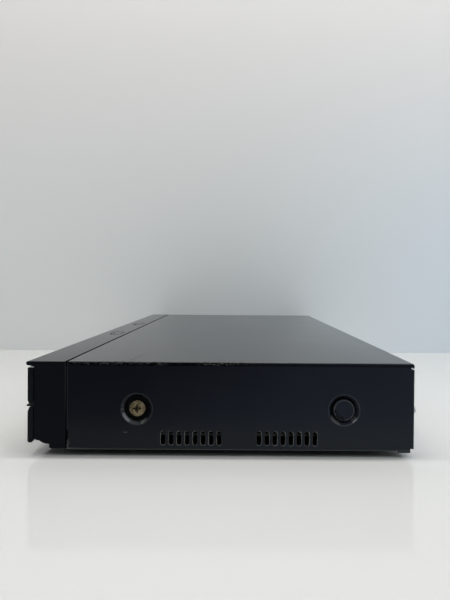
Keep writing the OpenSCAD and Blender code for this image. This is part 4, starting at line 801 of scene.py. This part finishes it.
class RECORDER_OT_paint_electronics(bpy.types.Operator):
    """Paint the boards, hard disk, power supply and sockets"""

    bl_idname = "recorder.paint_electronics"
    bl_label = "Paint Electronics"

    def execute(self, context):
        green = circuit_board("green_board", (0.003, 0.016, 0.008), (0.006, 0.032, 0.016))
        dress(green, "main_board", "front_board", "card_board", "key_board")
        dress(circuit_board("tan_board", (0.30, 0.18, 0.06), (0.38, 0.24, 0.09)), "power_board")
        dress(cast_aluminium(), "hard_disk", "main_heat_sink", "power_heat_sink", "pickup_sled")
        dress(moulded("coil_tape", (0.50, 0.34, 0.05), (0.62, 0.45, 0.10), rough=0.35), "transformer")
        dress(moulded("can_sleeve", (0.010, 0.014, 0.04), (0.018, 0.022, 0.06), rough=0.25), "capacitors")
        dress(jack_rings(), "av_jacks")
        return {"FINISHED"}


VENT_INPUTS = {
    "Slots": "NodeSocketInt", "Skipped": "NodeSocketInt", "Seed": "NodeSocketInt",
    "Pitch": "NodeSocketFloat", "Width": "NodeSocketFloat", "Height": "NodeSocketFloat",
    "Burr": "NodeSocketFloat", "Side": "NodeSocketFloat", "First": "NodeSocketFloat",
    "Low": "NodeSocketFloat", "Material": "NodeSocketMaterial",
}


def vent_edge_group():
    """Geometry nodes for the sheared edges of both sides' slots: a burr swept round each slot's outline."""
    group = bpy.data.node_groups.new("vent_edges", "GeometryNodeTree")
    for name, kind in VENT_INPUTS.items():
        group.interface.new_socket(name=name, in_out="INPUT", socket_type=kind)
    group.interface.new_socket(name="Geometry", in_out="OUTPUT", socket_type="NodeSocketGeometry")
    tree = Tree(group)
    given = tree.node("NodeGroupInput")
    # the outline of one slot in the plane of the side, and the burr along it
    outline = tree.node(
        "GeometryNodeCurvePrimitiveQuadrilateral", None, {"Width": given["Width"], "Height": given["Height"]}
    )[0]
    rounding = {"Curve": outline, "Radius": given["Width"] * 0.499, "Count": 6, "Limit Radius": True}
    rounded = tree.node("GeometryNodeFilletCurve", {"mode": "POLY"}, rounding)[0]
    upright = {"Geometry": rounded, "Rotation": (math.pi / 2, 0.0, math.pi / 2)}
    rounded = tree.node("GeometryNodeTransform", None, upright)[0]
    burr = tree.node("GeometryNodeCurvePrimitiveCircle", None, {"Resolution": 6, "Radius": given["Burr"]})[0]
    edge = tree.node("GeometryNodeCurveToMesh", None, {"Curve": rounded, "Profile Curve": burr})[0]
    # one point for each slot, the right side's row first, less those between the groups
    row = given["Slots"] * 2 + given["Skipped"]
    number = tree.node("GeometryNodeInputIndex")[0]
    left = number.above(row - 0.5)
    order = number - left * row
    place = {"X": given["Side"] * (1 - 2 * left), "Y": given["First"] + given["Pitch"] * order,
             "Z": given["Low"] + given["Height"] * 0.5}
    place = tree.node("ShaderNodeCombineXYZ", None, place)[0]
    points = tree.node("GeometryNodeMeshLine", None, {"Count": row * 2})[0]
    points = tree.node("GeometryNodeSetPosition", None, {"Geometry": points, "Position": place})[0]
    skipped = order.between(given["Slots"] - 0.5, given["Slots"] + given["Skipped"] - 0.5)
    points = tree.node("GeometryNodeDeleteGeometry", None, {"Geometry": points, "Selection": skipped})[0]
    spread = {"Min": (0.99, 0.99, 0.995), "Max": (1.01, 1.01, 1.005), "Seed": given["Seed"]}
    scale = tree.node("FunctionNodeRandomValue", {"data_type": "FLOAT_VECTOR"}, spread)[0]
    placed = {"Points": points, "Instance": edge, "Scale": scale}
    edges = tree.node("GeometryNodeInstanceOnPoints", None, placed)[0]
    edges = tree.node("GeometryNodeRealizeInstances", None, {"Geometry": edges})[0]
    edges = tree.node("GeometryNodeSetMaterial", None, {"Geometry": edges, "Material": given["Material"]})[0]
    tree.node("NodeGroupOutput", None, {"Geometry": edges})
    return group


def grown(name, group, values):
    """A plain mesh object made by a node group with its inputs set."""
    maker = bpy.data.objects.new(name + "_maker", bpy.data.meshes.new(name + "_maker"))
    bpy.context.scene.collection.objects.link(maker)
    modifier = maker.modifiers.new(name, "NODES")
    modifier.node_group = group
    for socket in group.interface.items_tree:
        if socket.in_out == "INPUT":
            modifier[socket.identifier] = values[socket.name]
    evaluated = maker.evaluated_get(bpy.context.evaluated_depsgraph_get())
    mesh = bpy.data.meshes.new_from_object(evaluated)
    maker.modifiers.remove(modifier)
    bpy.data.objects.remove(maker)
    made = bpy.data.objects.new(name, mesh)
    bpy.context.scene.collection.objects.link(made)
    return made


class RECORDER_OT_vent_edges(bpy.types.Operator):
    """Put the bright sheared edges round the slots in both sides"""

    bl_idname = "recorder.vent_edges"
    bl_label = "Add Vent Edges"

    def execute(self, context):
        sizes = context.scene.recorder_vent_edges
        material = sheared_steel(context.scene.recorder_finishes, sizes)
        values = {
            "Slots": sizes.count, "Skipped": sizes.skip, "Seed": sizes.seed, "Pitch": sizes.pitch,
            "Width": sizes.width + 2 * sizes.burr, "Height": sizes.height + 2 * sizes.burr,
            "Burr": sizes.burr, "Side": COVER_HIGH.x - sizes.burr / 2,
            "First": COVER_LOW.y + sizes.first, "Low": sizes.low - sizes.burr, "Material": material,
        }
        edges = grown("vent_edges", vent_edge_group(), values)
        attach(edges, "root")
        return {"FINISHED"}


class RECORDER_OT_stage(bpy.types.Operator):
    """Set the floor, the wall, the lights and the camera"""

    bl_idname = "recorder.stage"
    bl_label = "Set Stage"

    def execute(self, context):
        props = context.scene.recorder_stage
        self.floor_and_wall(props)
        self.lights(context, props)
        self.camera(context, props)
        context.scene.view_settings.view_transform = "Standard"
        return {"FINISHED"}

    def plane(self, name, corners, material):
        mesh = bpy.data.meshes.new(name)
        mesh.from_pydata(corners, [], [(0, 1, 2, 3)])
        mesh.materials.append(material)
        made = bpy.data.objects.new(name, mesh)
        bpy.context.scene.collection.objects.link(made)

    def one_sided(self, finish, shader):
        """Lets a plane be seen through from behind, so that it hides nothing in other views."""
        behind = finish.node("ShaderNodeNewGeometry")["Backfacing"]
        clear = finish.node("ShaderNodeBsdfTransparent")[0]
        return finish.node("ShaderNodeMixShader", None, {0: behind, 1: shader, 2: clear})[0]

    def floor_and_wall(self, props):
        reach = props.reach
        wall_x = CAD_BOX[0][0] - props.wall_gap
        floor = Finish("floor", Specular_IOR_Level=0.35)
        tone = floor.noise(1.5, 2.0)
        colour = floor.mix(tone, props.floor, [c * 1.04 for c in props.floor])
        shader = floor.principled(Base_Color=colour, Roughness=0.06 + 0.04 * tone)
        floor.surface(self.one_sided(floor, shader))
        corners = [(-reach, -reach, 0), (reach, -reach, 0), (reach, reach, 0), (-reach, reach, 0)]
        self.plane("floor", corners, floor.material)
        wall = Finish("wall", Specular_IOR_Level=0.1)
        tone = wall.noise(1.2, 2.0)
        _, y, z = wall.axes()
        right = (y + 0.1 * (tone - 0.5)).step(-0.1, 0.45)
        colour = wall.mix(right, props.wall, props.wall_right)
        colour = wall.mix(z.step(0.1, 0.55), colour, props.wall_high)
        shader = wall.principled(Base_Color=colour, Roughness=0.85 + 0.1 * tone)
        wall.surface(self.one_sided(wall, shader))
        corners = [(wall_x, -reach, 0), (wall_x, reach, 0), (wall_x, reach, reach), (wall_x, -reach, reach)]
        self.plane("wall", corners, wall.material)

    def lights(self, context, props):
        """A room light above and dim in front, a long lamp overhead, a window right and a small lamp left."""
        world = bpy.data.worlds.new("studio")
        world.use_nodes = True
        sky = Tree(world.node_tree)
        x, y, z = sky.parts(sky.node("ShaderNodeTexCoord")["Generated"])
        colour = sky.mix(z.step(-0.1, 0.9), props.horizon, props.zenith)
        sides = abs(y).step(0.25, 0.95) * (1 - z.step(0.5, 1.0))
        front = x.step(0.0, 0.5) * (1 - z.step(0.45, 0.95))
        strength = (1 + props.side_light * sides) * (1 - props.front_shade * front)
        room = sky.node("ShaderNodeBackground", None, {"Color": colour, "Strength": strength})[0]
        sky.node("ShaderNodeOutputWorld", None, {"Surface": room})
        context.scene.world = world
        # the long lamp is left out of reflections, where it shows as a white strip from above
        overhead = self.area(
            "overhead", props.overhead_place, OVERHEAD_AIM, props.overhead_length, props.overhead_power
        )
        overhead.data.shape = "RECTANGLE"
        overhead.data.size_y = props.overhead_width
        overhead.visible_glossy = False
        window = self.area(
            "right_window", props.window_place, LAMP_AIM, props.window_size, props.window_power
        )
        window.data.color = props.window_tint
        self.area("left_lamp", props.left_place, LAMP_AIM, props.left_size, props.left_power)

    def area(self, name, place, target, size, power):
        lamp = bpy.data.lights.new(name, "AREA")
        lamp.size = size
        lamp.energy = power
        made = bpy.data.objects.new(name, lamp)
        made.location = place
        made.rotation_mode = "QUATERNION"
        made.rotation_quaternion = (Vector(target) - Vector(place)).to_track_quat("-Z", "Y")
        bpy.context.scene.collection.objects.link(made)
        return made

    def camera(self, context, props):
        data = bpy.data.cameras.new("camera")
        data.sensor_width = SENSOR
        data.lens = props.lens
        data.shift_x = (IMAGE_W / 2 - props.centre_x) / IMAGE_H
        data.shift_y = (props.centre_y - IMAGE_H / 2) / IMAGE_H
        data.clip_start = 10 * MM
        made = bpy.data.objects.new("camera", data)
        made.location = (COVER_HIGH.x + props.distance, COVER_HIGH.y - props.aside, props.height)
        made.rotation_mode = "QUATERNION"
        aim = Vector((-math.cos(props.yaw), math.sin(props.yaw), -math.tan(props.pitch)))
        roll = Matrix.Rotation(props.roll, 3, "Z").to_quaternion()
        made.rotation_quaternion = aim.to_track_quat("-Z", "Y") @ roll
        context.scene.collection.objects.link(made)
        context.scene.camera = made


class RECORDER_PT_panel(bpy.types.Panel):
    """Lists the recorder's operators and settings"""

    bl_label = "Disc Recorder"
    bl_idname = "RECORDER_PT_panel"
    bl_space_type = "VIEW_3D"
    bl_region_type = "UI"
    bl_category = "Recorder"

    def draw(self, context):
        for operator in OPERATORS:
            self.layout.operator(operator.bl_idname)
        for group in GROUPS:
            settings = getattr(context.scene, group)
            for name in settings.bl_rna.properties.keys():
                if name not in {"rna_type", "name"}:
                    self.layout.prop(settings, name)


OPERATORS = (
    RECORDER_OT_paint_case,
    RECORDER_OT_paint_fascia,
    RECORDER_OT_paint_drive,
    RECORDER_OT_paint_electronics,
    RECORDER_OT_vent_edges,
    RECORDER_OT_stage,
)
GROUPS = {
    "recorder_finishes": RecorderFinishes,
    "recorder_vent_edges": RecorderVentEdges,
    "recorder_stage": RecorderStage,
}


def register():
    for item in (*GROUPS.values(), *OPERATORS, RECORDER_PT_panel):
        bpy.utils.register_class(item)
    for name, group in GROUPS.items():
        setattr(bpy.types.Scene, name, PointerProperty(type=group))


def unregister():
    for name in GROUPS:
        delattr(bpy.types.Scene, name)
    for item in reversed((*GROUPS.values(), *OPERATORS, RECORDER_PT_panel)):
        bpy.utils.unregister_class(item)


def main():
    register()
    for operator in OPERATORS:
        group, name = operator.bl_idname.split(".")
        getattr(getattr(bpy.ops, group), name)()


if __name__ == "__main__":
    main()
